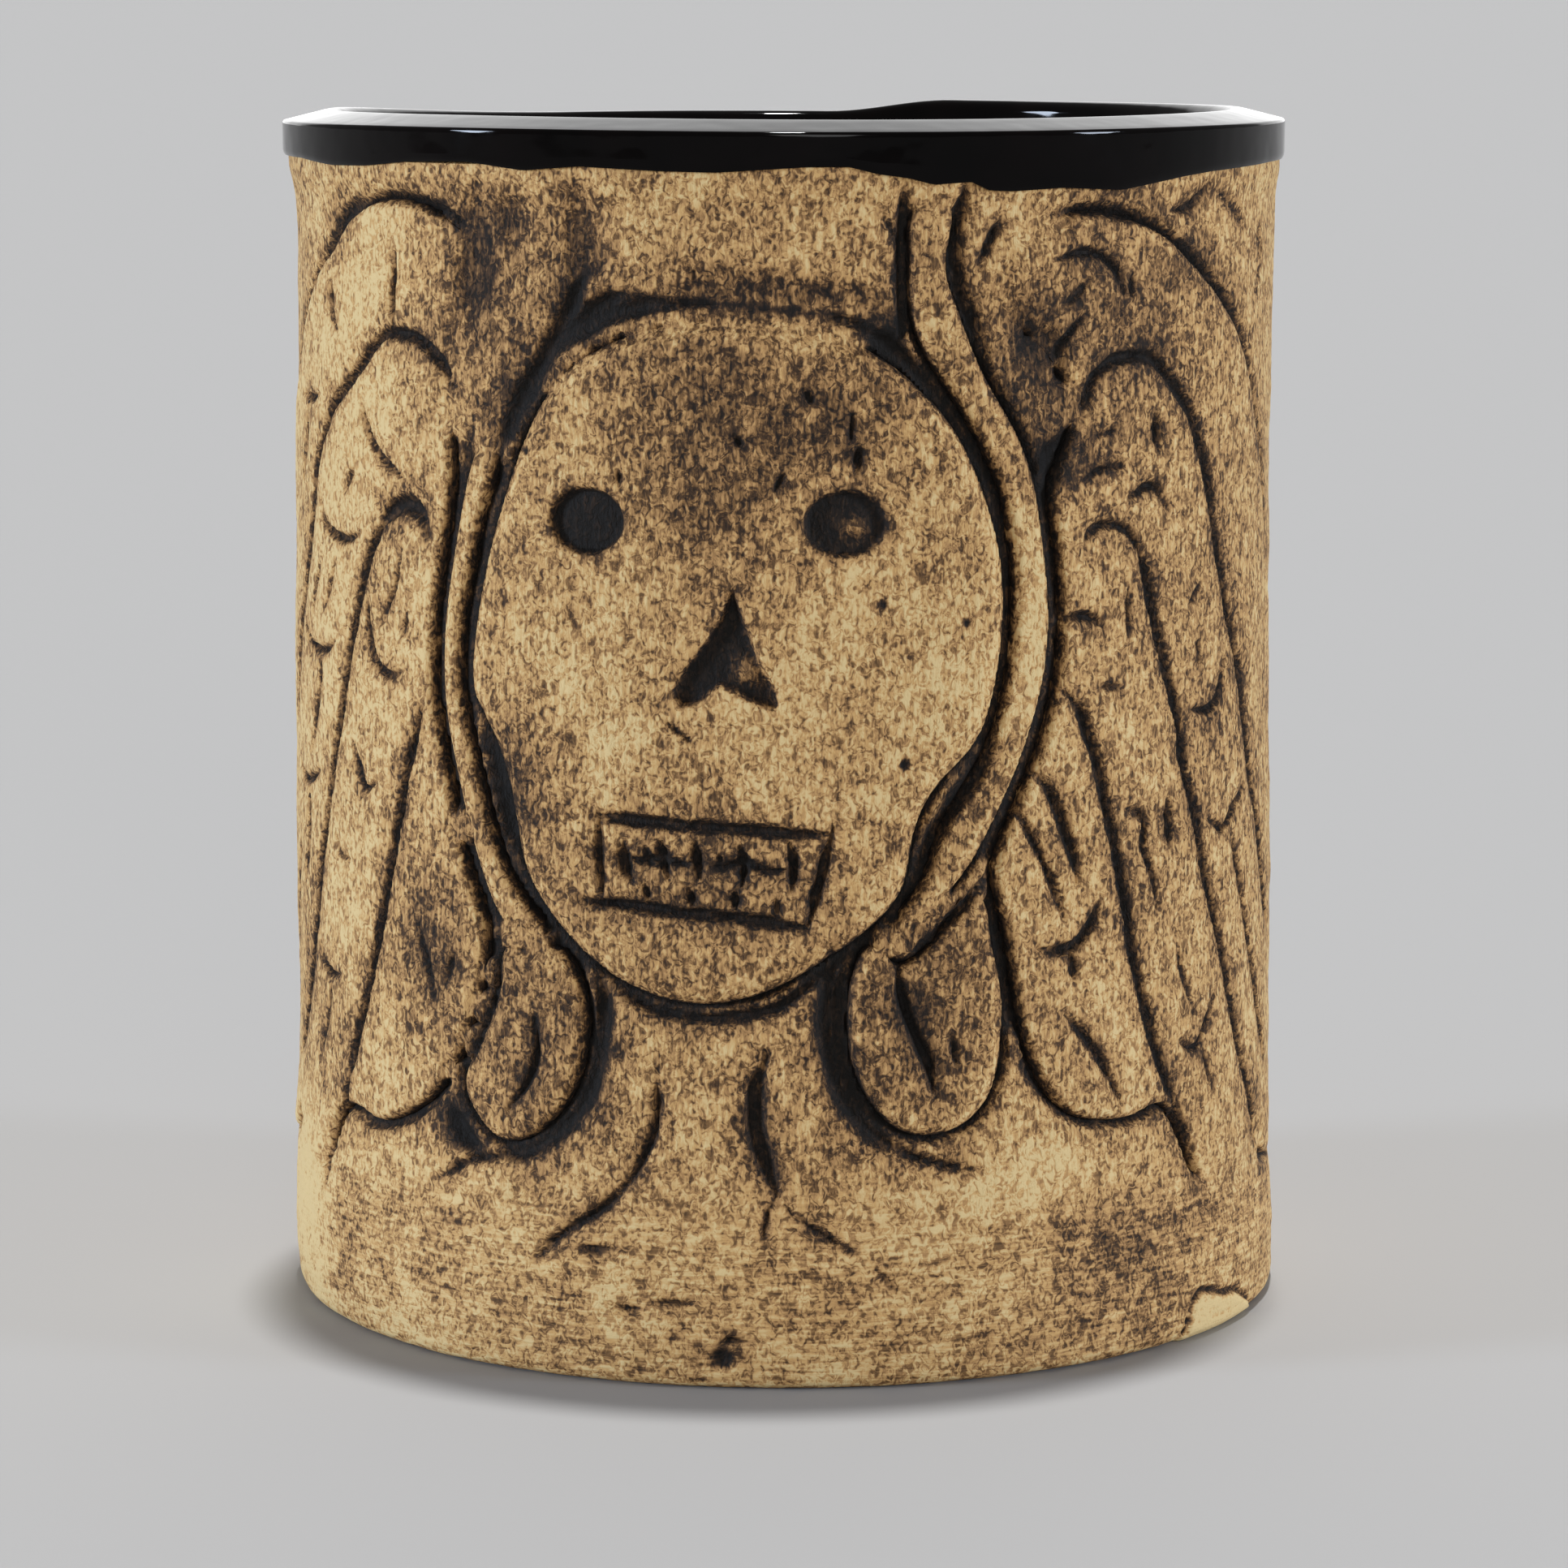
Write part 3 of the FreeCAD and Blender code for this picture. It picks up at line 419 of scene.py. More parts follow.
def distance_to(places, line):
    """Distance from each place to a line, and how far along the line the nearest point is."""
    nearest = np.full(len(places), np.inf)
    along = np.zeros(len(places))
    travelled = 0.0
    for start, end in zip(line, line[1:]):
        step = end - start
        length = max(np.hypot(*step), 1e-9)
        share = np.clip((places - start) @ step / length ** 2, 0.0, 1.0)
        gap = places - start - share[:, None] * step
        distance = np.hypot(gap[:, 0], gap[:, 1])
        closer = distance < nearest
        nearest[closer] = distance[closer]
        along[closer] = travelled + share[closer] * length
        travelled += length
    return nearest, along


def inside(places, loop):
    """Whether each place is inside a closed loop."""
    x, y = places.T
    odd = np.zeros(len(places), bool)
    for (ax, ay), (bx, by) in zip(loop, np.roll(loop, -1, axis=0)):
        if ay == by:
            continue
        spans = (ay > y) != (by > y)
        odd ^= spans & (x < ax + (y - ay) * (bx - ax) / (by - ay))
    return odd


def spaced(line, spacing):
    """Evenly spaced points along a line."""
    stops = np.concatenate([[0.0], np.cumsum(np.hypot(*np.diff(line, axis=0).T))])
    wanted = np.linspace(0.0, stops[-1], max(2, int(stops[-1] / spacing) + 1))
    return np.column_stack([np.interp(wanted, stops, line[:, 0]), np.interp(wanted, stops, line[:, 1])])


def nearest_on(places, loop):
    """The nearest point of a closed loop to each place, and the distance to it."""
    fine = spaced(np.vstack([loop, loop[:1]]), 0.08)
    tree = kdtree.KDTree(len(fine))
    for number, (across, up) in enumerate(fine):
        tree.insert((across, up, 0.0), number)
    tree.balance()
    found = [tree.find((across, up, 0.0)) for across, up in places]
    return fine[[number for _, number, _ in found]], np.array([distance for _, _, distance in found])


def depth_inside(places, loop):
    """Distance to a closed loop, positive inside it and negative outside."""
    _, distance = nearest_on(places, loop)
    return np.where(inside(places, loop), distance, -distance)


def footprint(node):
    """The outline of a relief shape on the unrolled wall, from its CAD node."""
    bm = bmesh.new()
    bm.from_mesh(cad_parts[node].data)
    bmesh.ops.remove_doubles(bm, verts=bm.verts, dist=1e-6)
    top = max(math.hypot(v.co.x, v.co.y) for v in bm.verts) - 0.03 * MM
    on_top = {f for f in bm.faces if all(math.hypot(v.co.x, v.co.y) > top for v in f.verts)}
    rim = [e for e in bm.edges if sum(f in on_top for f in e.link_faces) == 1]
    neighbours = {}
    for edge in rim:
        a, b = edge.verts
        neighbours.setdefault(a, []).append(b)
        neighbours.setdefault(b, []).append(a)
    loops = []
    left = dict.fromkeys(neighbours)
    while left:
        loop = [next(iter(left))]
        del left[loop[0]]
        while True:
            onward = [v for v in neighbours[loop[-1]] if v in left]
            if not onward:
                break
            loop.append(onward[0])
            del left[onward[0]]
        loops.append(np.array([[v.co.x, v.co.y, v.co.z] for v in loop]) / MM)
    bm.free()
    longest = max(loops, key=len)
    outline = np.column_stack([across_of(longest[:, 0], longest[:, 1]), longest[:, 2]])
    return spaced(np.vstack([outline, outline[:1]]), 0.6)[:-1]


FOOTPRINTS = {shape[1]: footprint(shape[1]) for shape in RELIEF_SHAPES}


# ---------------------------------------------------------------- the carving

def cut_line(places, wander, cut, stain, style, points):
    """Adds one carved line, with ragged sides, to the depth and the stain at the places near it, and
    painted shade in a soft band beside it.
    """
    half_width, depth, share = style
    line = smooth_line(points)
    reach = 4.0 * half_width
    low, high = line.min(0) - reach, line.max(0) + reach
    near = np.flatnonzero(np.all((places > low) & (places < high), axis=1))
    if not len(near):
        return
    distance, along = distance_to(places[near], line)
    distance = np.maximum(distance + wander[near], 0.0)
    length = np.hypot(*np.diff(line, axis=0).T).sum()
    taper_over = min(3.0, 0.35 * length)
    taper = 0.35 + 0.65 * ramp(0.0, taper_over, np.minimum(along, length - along))
    width = half_width * taper
    groove = depth * taper * np.clip(1.0 - (distance / width) ** 2, 0.0, 1.0)
    shoulder = 0.3 * depth * np.exp(-(distance / (2.2 * width)) ** 2)
    cut[near] = np.maximum(cut[near], groove + shoulder)
    dark = 1.0 - ramp(0.35 * width, 1.35 * width, distance)
    # painted shade: a soft dark band beside each line, laid over the oxide left near it
    stain_and_shade_halo = 0.28 * np.exp(-(distance / (3.2 * width)) ** 2)
    stain[near] = np.maximum(stain[near], share * (taper ** 0.5 * dark + (1.0 - dark) * stain_and_shade_halo))


def raggedness(places):
    """How far the side of a cut wanders, where the tool tore through the grog."""
    points = np.column_stack([places, np.zeros(len(places))])
    return roughen(points, 1.9, 0.20)


def carve(places):
    """Depth cut out of the surface, and share of stain left in it with painted shade beside the lines,
    at (across, up) places.
    """
    cut = np.zeros(len(places))
    stain = np.zeros(len(places))
    wander = raggedness(places)
    for style, points in ALL_LINES:
        cut_line(places, wander, cut, stain, style, points)
    for across, up, radius in PITS:
        distance = np.hypot(places[:, 0] - across, places[:, 1] - up) / radius
        cut += 0.5 * radius * np.exp(-distance ** 2)
        stain += 0.9 * np.exp(-distance ** 4)
    for across, up, radius, height in TAGS:
        bump = np.exp(-((places[:, 0] - across) ** 2 + (places[:, 1] - up) ** 2) / radius ** 2)
        cut -= height * bump
        stain -= 0.45 * bump
    return cut, stain


def hollow_face(places, cut, stain):
    """Sinks the eye sockets and the nose hole, which only the skull has."""
    for across, up, wide, tall, depth, share in SOCKETS:
        offset = np.hypot((places[:, 0] - across) / wide, (places[:, 1] - up) / tall)
        floor = 1.0 - ramp(0.86, 1.08, offset)
        cut += depth * floor * (0.85 + 0.15 * offset ** 2)
        stain += share * floor + 0.18 * np.exp(-((offset - 1.0) / 0.25) ** 2)
    near = np.all((places > (-12.0, 52.0)) & (places < (3.0, 69.0)), axis=1)
    edge = np.zeros(len(places))
    edge[near] = depth_inside(places[near], smooth_line(NOSE + NOSE[:1])[:-1])
    floor = np.where(near, ramp(-0.15, 0.45, edge), 0.0)
    cut += NOSE_DEPTH * floor
    stain += 0.86 * floor
    for across, up, radius, height in LUMPS:
        distance = np.hypot(places[:, 0] - across, places[:, 1] - up) / radius
        bump = np.exp(-distance ** 2)
        cut -= height * bump
        stain -= 0.62 * bump


def stain_patches(places):
    """The broad patches of rubbed stain, and the painted shade and painted highlight listed with them.
    """
    stain = np.zeros(len(places))
    for across, up, wide, tall, amount in STAIN_AND_PAINTED_LIGHT_PATCHES:
        offset = ((places[:, 0] - across) / wide) ** 2 + ((places[:, 1] - up) / tall) ** 2
        stain += amount * np.exp(-offset)
    return stain


def waver(places):
    """How far the hand-bent wall leans in or out of true at each place."""
    across, up = places.T
    heights = [0.0, 5.0, 9.0, 14.0, 20.0, 26.0, 50.0, 70.0, 92.0, 97.5, HEIGHT]
    to_left = np.interp(up, heights, [0.95, 0.95, 0.90, 0.60, 0.25, 0.05, 0.0, -0.20, -0.35, -0.05, 0.0])
    to_right = np.interp(up, heights, [1.0, 0.98, 0.70, 0.25, 0.12, 0.08, -0.05, -0.20, 0.08, 0.05, 0.0])
    side = np.sin(across / UNROLLED_RADIUS)
    return 0.5 * (to_left + to_right) + 0.5 * (to_right - to_left) * side


def rim_dip(across):
    """How far the rim dips below its highest part. The left half of the back was pressed lower."""
    turn = np.degrees(across / UNROLLED_RADIUS)
    pressed = np.maximum(ramp(95.0, 150.0, -turn), ramp(157.0, 174.0, turn))
    return 1.15 * pressed + 0.08 + 0.08 * np.sin(np.radians(3.0 * turn) + 0.6)


def roughen(points, size, height):
    """Lumpy offsets of a given size and height, the same for every piece at the same place."""
    return np.array([noise.noise(Vector(point) / size) for point in points]) * height


def surface_lumps(points):
    """The unevenness that fingers and tools leave in a slab."""
    return roughen(points, 14.0, 0.16) + roughen(points, 4.5, 0.09) + roughen(points, 1.3, 0.05)


# ---------------------------------------------------------------- making pieces

def add_piece(name, bm, places_to_points):
    """A piece from a bmesh.

    places_to_points turns its vertices into positions in millimetres and a stain for each, or None.
    The stain also holds painted shade and painted highlights.
    """
    mesh = bpy.data.meshes.new(name)
    bm.to_mesh(mesh)
    bm.free()
    flat = np.empty(len(mesh.vertices) * 3)
    mesh.vertices.foreach_get("co", flat)
    points, stain = places_to_points(flat.reshape(-1, 3))
    mesh.vertices.foreach_set("co", (points * MM).ravel())
    if stain is not None:
        # the stain attribute holds the oxide stain together with painted shade and painted highlights
        layer = mesh.attributes.new("stain", "FLOAT", "POINT")
        layer.data.foreach_set("value", np.clip(stain, -1.0, 1.5).astype(np.float32))
    mesh.update()
    mesh.shade_smooth()
    mesh.set_sharp_from_angle(angle=math.radians(SHARPEST_SMOOTH))
    piece = bpy.data.objects.new(name, mesh)
    bpy.context.scene.collection.objects.link(piece)
    return piece


def finish_piece(piece, material, node):
    """Gives a piece its material, hangs it on the root body and hides the CAD node that it stands for.
    """
    piece.data.materials.append(material)
    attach(piece, "root")
    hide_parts(node)


def on_wall(across, up, radius):
    """Positions in space from places on the unrolled wall."""
    turn = across / UNROLLED_RADIUS
    return np.column_stack([radius * np.sin(turn), -radius * np.cos(turn), up])


def sheet_of(loop, step):
    """A fine sheet of squares cut to an outline, doubled to a closed slab one unit thick."""
    low, high = loop.min(0) - step, loop.max(0) + step
    columns, rows = np.ceil((high - low) / step).astype(int)
    bm = bmesh.new()
    bmesh.ops.create_grid(bm, x_segments=int(columns), y_segments=int(rows), size=0.5)
    bmesh.ops.scale(bm, verts=bm.verts, vec=(columns * step, rows * step, 1.0))
    middle = 0.5 * (low + high)
    bmesh.ops.translate(bm, verts=bm.verts, vec=(middle[0], middle[1], 0.0))
    centres = np.array([f.calc_center_median()[:2] for f in bm.faces])
    kept = inside(centres, loop)
    outside = [face for face, keep in zip(bm.faces, kept) if not keep]
    bmesh.ops.delete(bm, geom=outside, context="FACES")
    border = [v for v in bm.verts if v.is_boundary]
    nearest, _ = nearest_on(np.array([v.co[:2] for v in border]), loop)
    for vert, (across, up) in zip(border, nearest):
        vert.co.x, vert.co.y = across, up
    extruded = bmesh.ops.extrude_face_region(bm, geom=bm.faces[:])
    lifted = [item for item in extruded["geom"] if isinstance(item, bmesh.types.BMVert)]
    bmesh.ops.translate(bm, verts=lifted, vec=(0.0, 0.0, 1.0))
    bmesh.ops.recalc_face_normals(bm, faces=bm.faces)
    return bm


def blended(places):
    """1 where a relief shape's edge flows into the ground, and 0 where a line was cut round it."""
    share = np.zeros(len(places))
    for across, up, reach in BLENDED_EDGES:
        distance = np.hypot(places[:, 0] - across, places[:, 1] - up)
        share = np.maximum(share, 1.0 - ramp(0.75 * reach, 1.25 * reach, distance))
    return share


def relief_surface(loop, top, edge_width, extra):
    """A function that gives a relief shape its front surface and stain, with painted shade and highlight
    mixed into the stain.
    """
    def shaped(flat):
        places, lifted = flat[:, :2], flat[:, 2] > 0.5
        depth = np.maximum(depth_inside(places, loop), 0.0)
        rise = np.sqrt(1.0 - (1.0 - np.clip(depth / edge_width, 0.0, 1.0)) ** 2)
        cut, stain = carve(places)
        if extra:
            extra(places, cut, stain)
        soft = blended(places)
        level = RELIEF_FLOOR + (top - RELIEF_FLOOR) * rise
        flush = GROUND_RADIUS + (top - GROUND_RADIUS) * ramp(0.0, 2.5, depth)
        level = level + (flush - level) * soft
        base = on_wall(places[:, 0], places[:, 1], np.full(len(places), top))
        lumps = surface_lumps(base) * np.maximum(ramp(0.0, 1.0, depth), soft)
        front = np.minimum(level + waver(places) + lumps - cut, FOOT_RADIUS - 0.05)
        radius = np.where(lifted, np.maximum(front, UNDER_RELIEF), BACK_OF_RELIEF)
        torn = np.maximum(depth + raggedness(places), 0.0)
        edge_dark = 0.60 * (1.0 - ramp(0.0, 0.18, torn)) + 0.10 * np.exp(-(depth / 0.8) ** 2)
        rubbed = 0.10 * np.exp(-((depth - 0.85) / 0.4) ** 2)
        stain = np.maximum(stain, edge_dark * (1.0 - soft)) - rubbed * (1.0 - soft)
        return on_wall(places[:, 0], places[:, 1], radius), stain + stain_patches(places)
    return shaped


def relief_piece(material, name, node, step, top, edge_width):
    """One relief shape. Only the skull also has hollows for its eyes and nose."""
    loop = FOOTPRINTS[node]
    extra = hollow_face if name == "skull" else None
    shaped = relief_surface(loop, top, edge_width, extra)
    piece = add_piece(name, sheet_of(loop, step), shaped)
    finish_piece(piece, material, node)


def turned(profile, steps, to_axis=False):
    """A closed shape spun from a (radius, up) profile.

    The profile is a closed loop, which makes a ring, or runs from the axis back to the axis, which
    makes a solid disc or cup.
    """
    bm = bmesh.new()
    verts = [bm.verts.new((0.0, radius, up)) for radius, up in profile]
    ends = verts[1:] if to_axis else verts[1:] + verts[:1]
    edges = [bm.edges.new(pair) for pair in zip(verts, ends)]
    bmesh.ops.spin(bm, geom=verts + edges, cent=(0, 0, 0), axis=(0, 0, 1), angle=2 * math.pi,
                   steps=steps, use_merge=True)
    bmesh.ops.remove_doubles(bm, verts=bm.verts, dist=1e-5)
    bmesh.ops.recalc_face_normals(bm, faces=bm.faces)
    return bm


def crowd_to_front(points, share=0.5):
    """Moves a ring's columns round so that they are closer together at the front."""
    turn = np.arctan2(points[:, 0], points[:, 1])
    turn = turn + share * np.sin(turn)
    radius = np.hypot(points[:, 0], points[:, 1])
    return np.column_stack([radius * np.sin(turn), radius * np.cos(turn), points[:, 2]])


def quarter(centre, radius, start, end, count):
    """Points of an arc of a profile, as (radius, up), from one angle to another in degrees."""
    turns = np.radians(np.linspace(start, end, count))
    return [(centre[0] + radius * math.cos(t), centre[1] + radius * math.sin(t)) for t in turns]


# ---------------------------------------------------------------- the pieces

def ground_at(places):
    """Radius and stain of the wall's own outside surface, with painted shade and highlight mixed into
    the stain.
    """
    up = places[:, 1]
    radius = GROUND_RADIUS + (RIM_RADIUS - GLAZE - GROUND_RADIUS) * ramp(95.0, 98.0, up)
    cut, stain = carve(places)
    nearest = np.full(len(places), 9.0)
    second = np.full(len(places), 9.0)
    reach = 3.0
    for loop in FOOTPRINTS.values():
        low, high = loop.min(0) - reach, loop.max(0) + reach
        near = np.flatnonzero(np.all((places > low) & (places < high), axis=1))
        if len(near):
            away = -depth_inside(places[near], loop)
            second[near] = np.minimum(second[near], np.maximum(nearest[near], away))
            nearest[near] = np.minimum(nearest[near], away)
    soft = blended(places)
    between = 1.0 - ramp(1.5, 2.3, nearest + second)
    groove = np.maximum(1.0 - ramp(0.20, 0.85, nearest), between) * (1.0 - soft)
    radius = radius - cut
    radius = radius + (np.minimum(GROOVE_FLOOR, radius) - radius) * groove
    radius = np.where(nearest < -0.05 - UNDER_BLEND * soft, UNDER_RELIEF, radius)
    torn = np.maximum(nearest + raggedness(places), 0.0)
    outline = 0.8 - 0.8 * ramp(0.10, 0.70, torn) + 0.22 * np.exp(-(nearest / 2.0) ** 2)
    outline = np.maximum(outline, 0.72 * between) * (1.0 - soft)
    stain = np.maximum(stain, outline) + stain_patches(places)
    seam_cut, seam_stain = lap_seam(places)
    return radius + waver(places) - seam_cut, stain + seam_stain


def lap_seam(places):
    """The lap at the back where the slab's two ends meet: a low step with a line pressed along it."""
    across, up = places.T
    past = across - LAP_ACROSS - 0.8 * np.sin(up / 13.0) - 0.3 * np.sin(up / 4.1)
    line = np.exp(-(past / 0.55) ** 2)
    step = ramp(0.0, 0.8, past) * (1.0 - ramp(2.0, 7.0, past))
    return 0.30 * line - 0.25 * step, 0.55 * line + 0.12 * np.exp(-(past / 2.5) ** 2)


def wall_profile():
    """Rows of the wall, closest together where it is carved."""
    rows = np.concatenate([np.arange(BASE_TOP, 36.0, 0.34), np.arange(36.0, 80.0, 0.6),
                           np.arange(80.0, 99.0, 0.36)])
    outside = [(FOOT_RADIUS, up) for up in rows]
    hidden = [(INSIDE_RADIUS + 2.4, 99.6), (INSIDE_RADIUS + 1.2, 99.0), (INSIDE_RADIUS, 88.0),
              (INSIDE_RADIUS, 40.0), (INSIDE_RADIUS, BASE_TOP)]
    return outside + hidden


def shape_wall(points):
    """Carves the outside of the wall and leaves its inside plain."""
    points = crowd_to_front(points)
    places = np.column_stack([across_of(points[:, 0], points[:, 1]), points[:, 2]])
    outer = np.hypot(points[:, 0], points[:, 1]) > FOOT_RADIUS - 0.5
    radius, stain = ground_at(places)
    surface = on_wall(places[:, 0], places[:, 1], radius)
    lumps = surface_lumps(surface)
    radius = np.minimum(radius + lumps, FOOT_RADIUS - 0.02)
    surface = on_wall(places[:, 0], places[:, 1], radius)
    return np.where(outer[:, None], surface, points), stain


def shape_base(points):
    """Wears the foot's edge, presses the torn flap down and carves the pits."""
    points = crowd_to_front(points)
    across = across_of(points[:, 0], points[:, 1])
    radius = np.hypot(points[:, 0], points[:, 1])
    up = points[:, 2].copy()
    outer = ramp(34.0, 40.5, radius)
    places = np.column_stack([across, up])
    lumps = surface_lumps(on_wall(across, up, radius))
    worn = 0.35 * (0.5 - 0.5 * np.sin(across / UNROLLED_RADIUS)) * (1.0 - ramp(0.0, 4.5, up))
    inside_flap = np.interp(across, *np.array(FLAP_EDGE).T) - up + 0.5 * raggedness(places)
    flap = ramp(-0.10, 0.25, inside_flap)
    crack = np.exp(-((inside_flap + 0.35) / 0.30) ** 2) * (up < 4.4)
    cut, pit_stain = carve(places)
    radius = radius - outer * (0.22 + worn + cut + 0.35 * crack) + outer * lumps * 0.8
    radius = np.minimum(radius + 0.35 * flap * outer, FOOT_RADIUS - 0.01)
    bare_edge = ramp(0.2, 1.0, 1.0 - up + 3.0 * raggedness(places))
    stain = stain_patches(places) + pit_stain - 0.40 * flap + 0.75 * crack - 0.22 * bare_edge
    stain = np.where(radius < 40.0, 0.02, stain)
    return on_wall(across, up, radius), stain


def glaze_edge(across):
    """Height of the glaze's lower edge on the outside."""
    return np.interp(across, *np.array(GLAZE_EDGE).T)


def shape_rim(points):
    """Gives the dipped glaze its wavering lower edge and the rim its dip."""
    points = crowd_to_front(points)
    across = across_of(points[:, 0], points[:, 1])
    radius = np.hypot(points[:, 0], points[:, 1])
    up = points[:, 2]
    low_share = 1.0 - ramp(98.0, 100.2, up)
    outer = radius > 40.9
    up = up + np.where(outer, (glaze_edge(across) - 98.0) * low_share, 0.0)
    lumps = roughen(points, 13.0, 0.12) + roughen(points, 4.0, 0.02)
    radius = np.minimum(radius + np.where(outer, lumps, 0.0), RIM_RADIUS + 0.1)
    up = up - rim_dip(across) * ramp(97.5, 101.0, up)
    return on_wall(across, up, radius), None


def shape_liner(points):
    """Gives the inside its hand-made unevenness and the rim's dip."""
    points = crowd_to_front(points, 0.2)
    radius = np.hypot(points[:, 0], points[:, 1])
    across = across_of(points[:, 0], points[:, 1])
    lumps = roughen(points, 16.0, 0.22) + roughen(points, 5.0, 0.06)
    inward = ramp(10.0, 30.0, radius) * np.where(radius < INSIDE_RADIUS - 0.1, 1.0, 0.0)
    up = points[:, 2]
    radius = radius - np.abs(lumps) * inward
    up = up - rim_dip(across) * ramp(94.0, 101.0, up)
    return on_wall(across, up, radius), None


def base_profile():
    """The base slab, from the middle of the foot round its edge to the middle of its top."""
    edge = quarter((FOOT_RADIUS - FOOT_EDGE, FOOT_EDGE), FOOT_EDGE, -90, 0, 10)
    foot = [(radius, 0.0) for radius in (0.0, 12.0, 24.0, 34.0, 37.0, 40.0)]
    side = [(FOOT_RADIUS, up) for up in np.linspace(FOOT_EDGE + 0.2, BASE_TOP, 20)]
    top = [(FOOT_RADIUS - 1.5, BASE_TOP), (30.0, BASE_TOP), (0.0, BASE_TOP)]
    return foot + edge + side + top


def lip_profile():
    """The rim glaze: from its lower edge up over the lip to the liner, and back through the clay.

    The lip slopes gently down to a crisp outer edge.
    """
    inner = RIM_RADIUS - LIP_WIDTH - 2 * GLAZE
    tangent = 90.0 - LIP_SLOPE
    inner_centre = (inner + LIP_INNER_EDGE, HEIGHT - LIP_INNER_EDGE)
    inner_arc = quarter(inner_centre, LIP_INNER_EDGE, tangent, 180, 11)
    run = RIM_RADIUS - LIP_EDGE * (1.0 - math.cos(math.radians(tangent))) - inner_arc[0][0]
    edge_top = inner_arc[0][1] - run * math.tan(math.radians(LIP_SLOPE))
    edge_up = edge_top - LIP_EDGE * math.sin(math.radians(tangent))
    outside = [(RIM_RADIUS - 0.40, 98.0), (RIM_RADIUS - 0.18, 98.02), (RIM_RADIUS - 0.05, 98.25)]
    outside += [(RIM_RADIUS, up) for up in np.linspace(98.6, edge_up - 0.2, 6)]
    edge = quarter((RIM_RADIUS - LIP_EDGE, edge_up), LIP_EDGE, 0, tangent, 7)
    fall = np.subtract(inner_arc[0], edge[-1])
    slope = [tuple(edge[-1] + share * fall) for share in (0.25, 0.5, 0.75)]
    inside_face = [(inner, up) for up in (99.2, 98.2, 97.0)]
    through = [(inner + 0.9, 97.0), (inner + 1.2, 99.4), (RIM_RADIUS - 1.6, 99.4),
               (RIM_RADIUS - 1.1, 98.2)]
    return outside + edge + slope + inner_arc + inside_face + through


def liner_profile():
    """The liner, from the middle of the floor up the wall and back down behind the coat."""
    centre = (INSIDE_RADIUS - COIL_RADIUS, BASE_TOP + COIL_RADIUS)
    inner = RIM_RADIUS - LIP_WIDTH - 2 * GLAZE
    floor = [(radius, BASE_TOP + GLAZE) for radius in (0.0, 8.0, 16.0, 24.0, 29.0)]
    fillet = quarter(centre, COIL_RADIUS - GLAZE, -90, 0, 12)
    wall = [(INSIDE_RADIUS - GLAZE, up) for up in np.linspace(14.0, 86.0, 22)]
    throat = [(INSIDE_RADIUS - GLAZE, 88.0), (inner - 0.5, 92.5), (inner, 97.0), (inner, 98.0)]
    behind = [(inner + 0.6, 97.0), (INSIDE_RADIUS + 0.1, 88.0), (INSIDE_RADIUS + 0.1, 12.0),
              (centre[0], BASE_TOP + 0.1), (0.0, BASE_TOP + 0.1)]
    return floor + fillet + wall + throat + behind


# ---------------------------------------------------------------- finishes

def linear(hex_colour):
    """The linear colour of an sRGB hex value."""
    channels = [int(hex_colour[i:i + 2], 16) / 255 for i in (1, 3, 5)]
    return tuple(c / 12.92 if c <= 0.04045 else ((c + 0.055) / 1.055) ** 2.4 for c in channels) + (1.0,)


def node(tree, kind, links=None, **settings):
    """Adds a node. links feeds its inputs from other nodes' outputs, and settings are its values."""
    made = tree.nodes.new(kind)
    for key, value in settings.items():
        if key.startswith("in_"):
            place = key[3:]
            made.inputs[int(place) if place.isdigit() else place.replace("_", " ")].default_value = value
        else:
            setattr(made, key, value)
    for place, source in (links or {}).items():
        tree.links.new(source, made.inputs[place])
    return made


def new_material(name):
    """A material with its node tree and its surface shader."""
    material = bpy.data.materials.new(name)
    material.use_nodes = True
    tree = material.node_tree
    return material, tree, tree.nodes["Principled BSDF"]


def grain(tree, place, size_mm, detail, roughness, stretch=(1.0, 1.0, 1.0), wander=0.0):
    """Noise whose lumps are about size_mm across, stretched along an axis where stretch is under 1."""
    mapped = node(tree, "ShaderNodeMapping", {"Vector": place}, in_Scale=stretch)
    made = node(tree, "ShaderNodeTexNoise", {"Vector": mapped.outputs["Vector"]},
                in_Scale=1.0 / (size_mm * MM), in_Detail=detail, in_Roughness=roughness,
                in_Distortion=wander)
    return made.outputs["Fac"]


def add_scaled(tree, total, value, scale, middle):
    """Adds a pattern to a total, scaled about its middle value."""
    scaled = node(tree, "ShaderNodeMath", {0: value}, operation="MULTIPLY_ADD", in_1=scale,
                  in_2=-scale * middle)
    joined = node(tree, "ShaderNodeMath", {0: total, 1: scaled.outputs[0]}, operation="ADD")
    return joined.outputs[0]


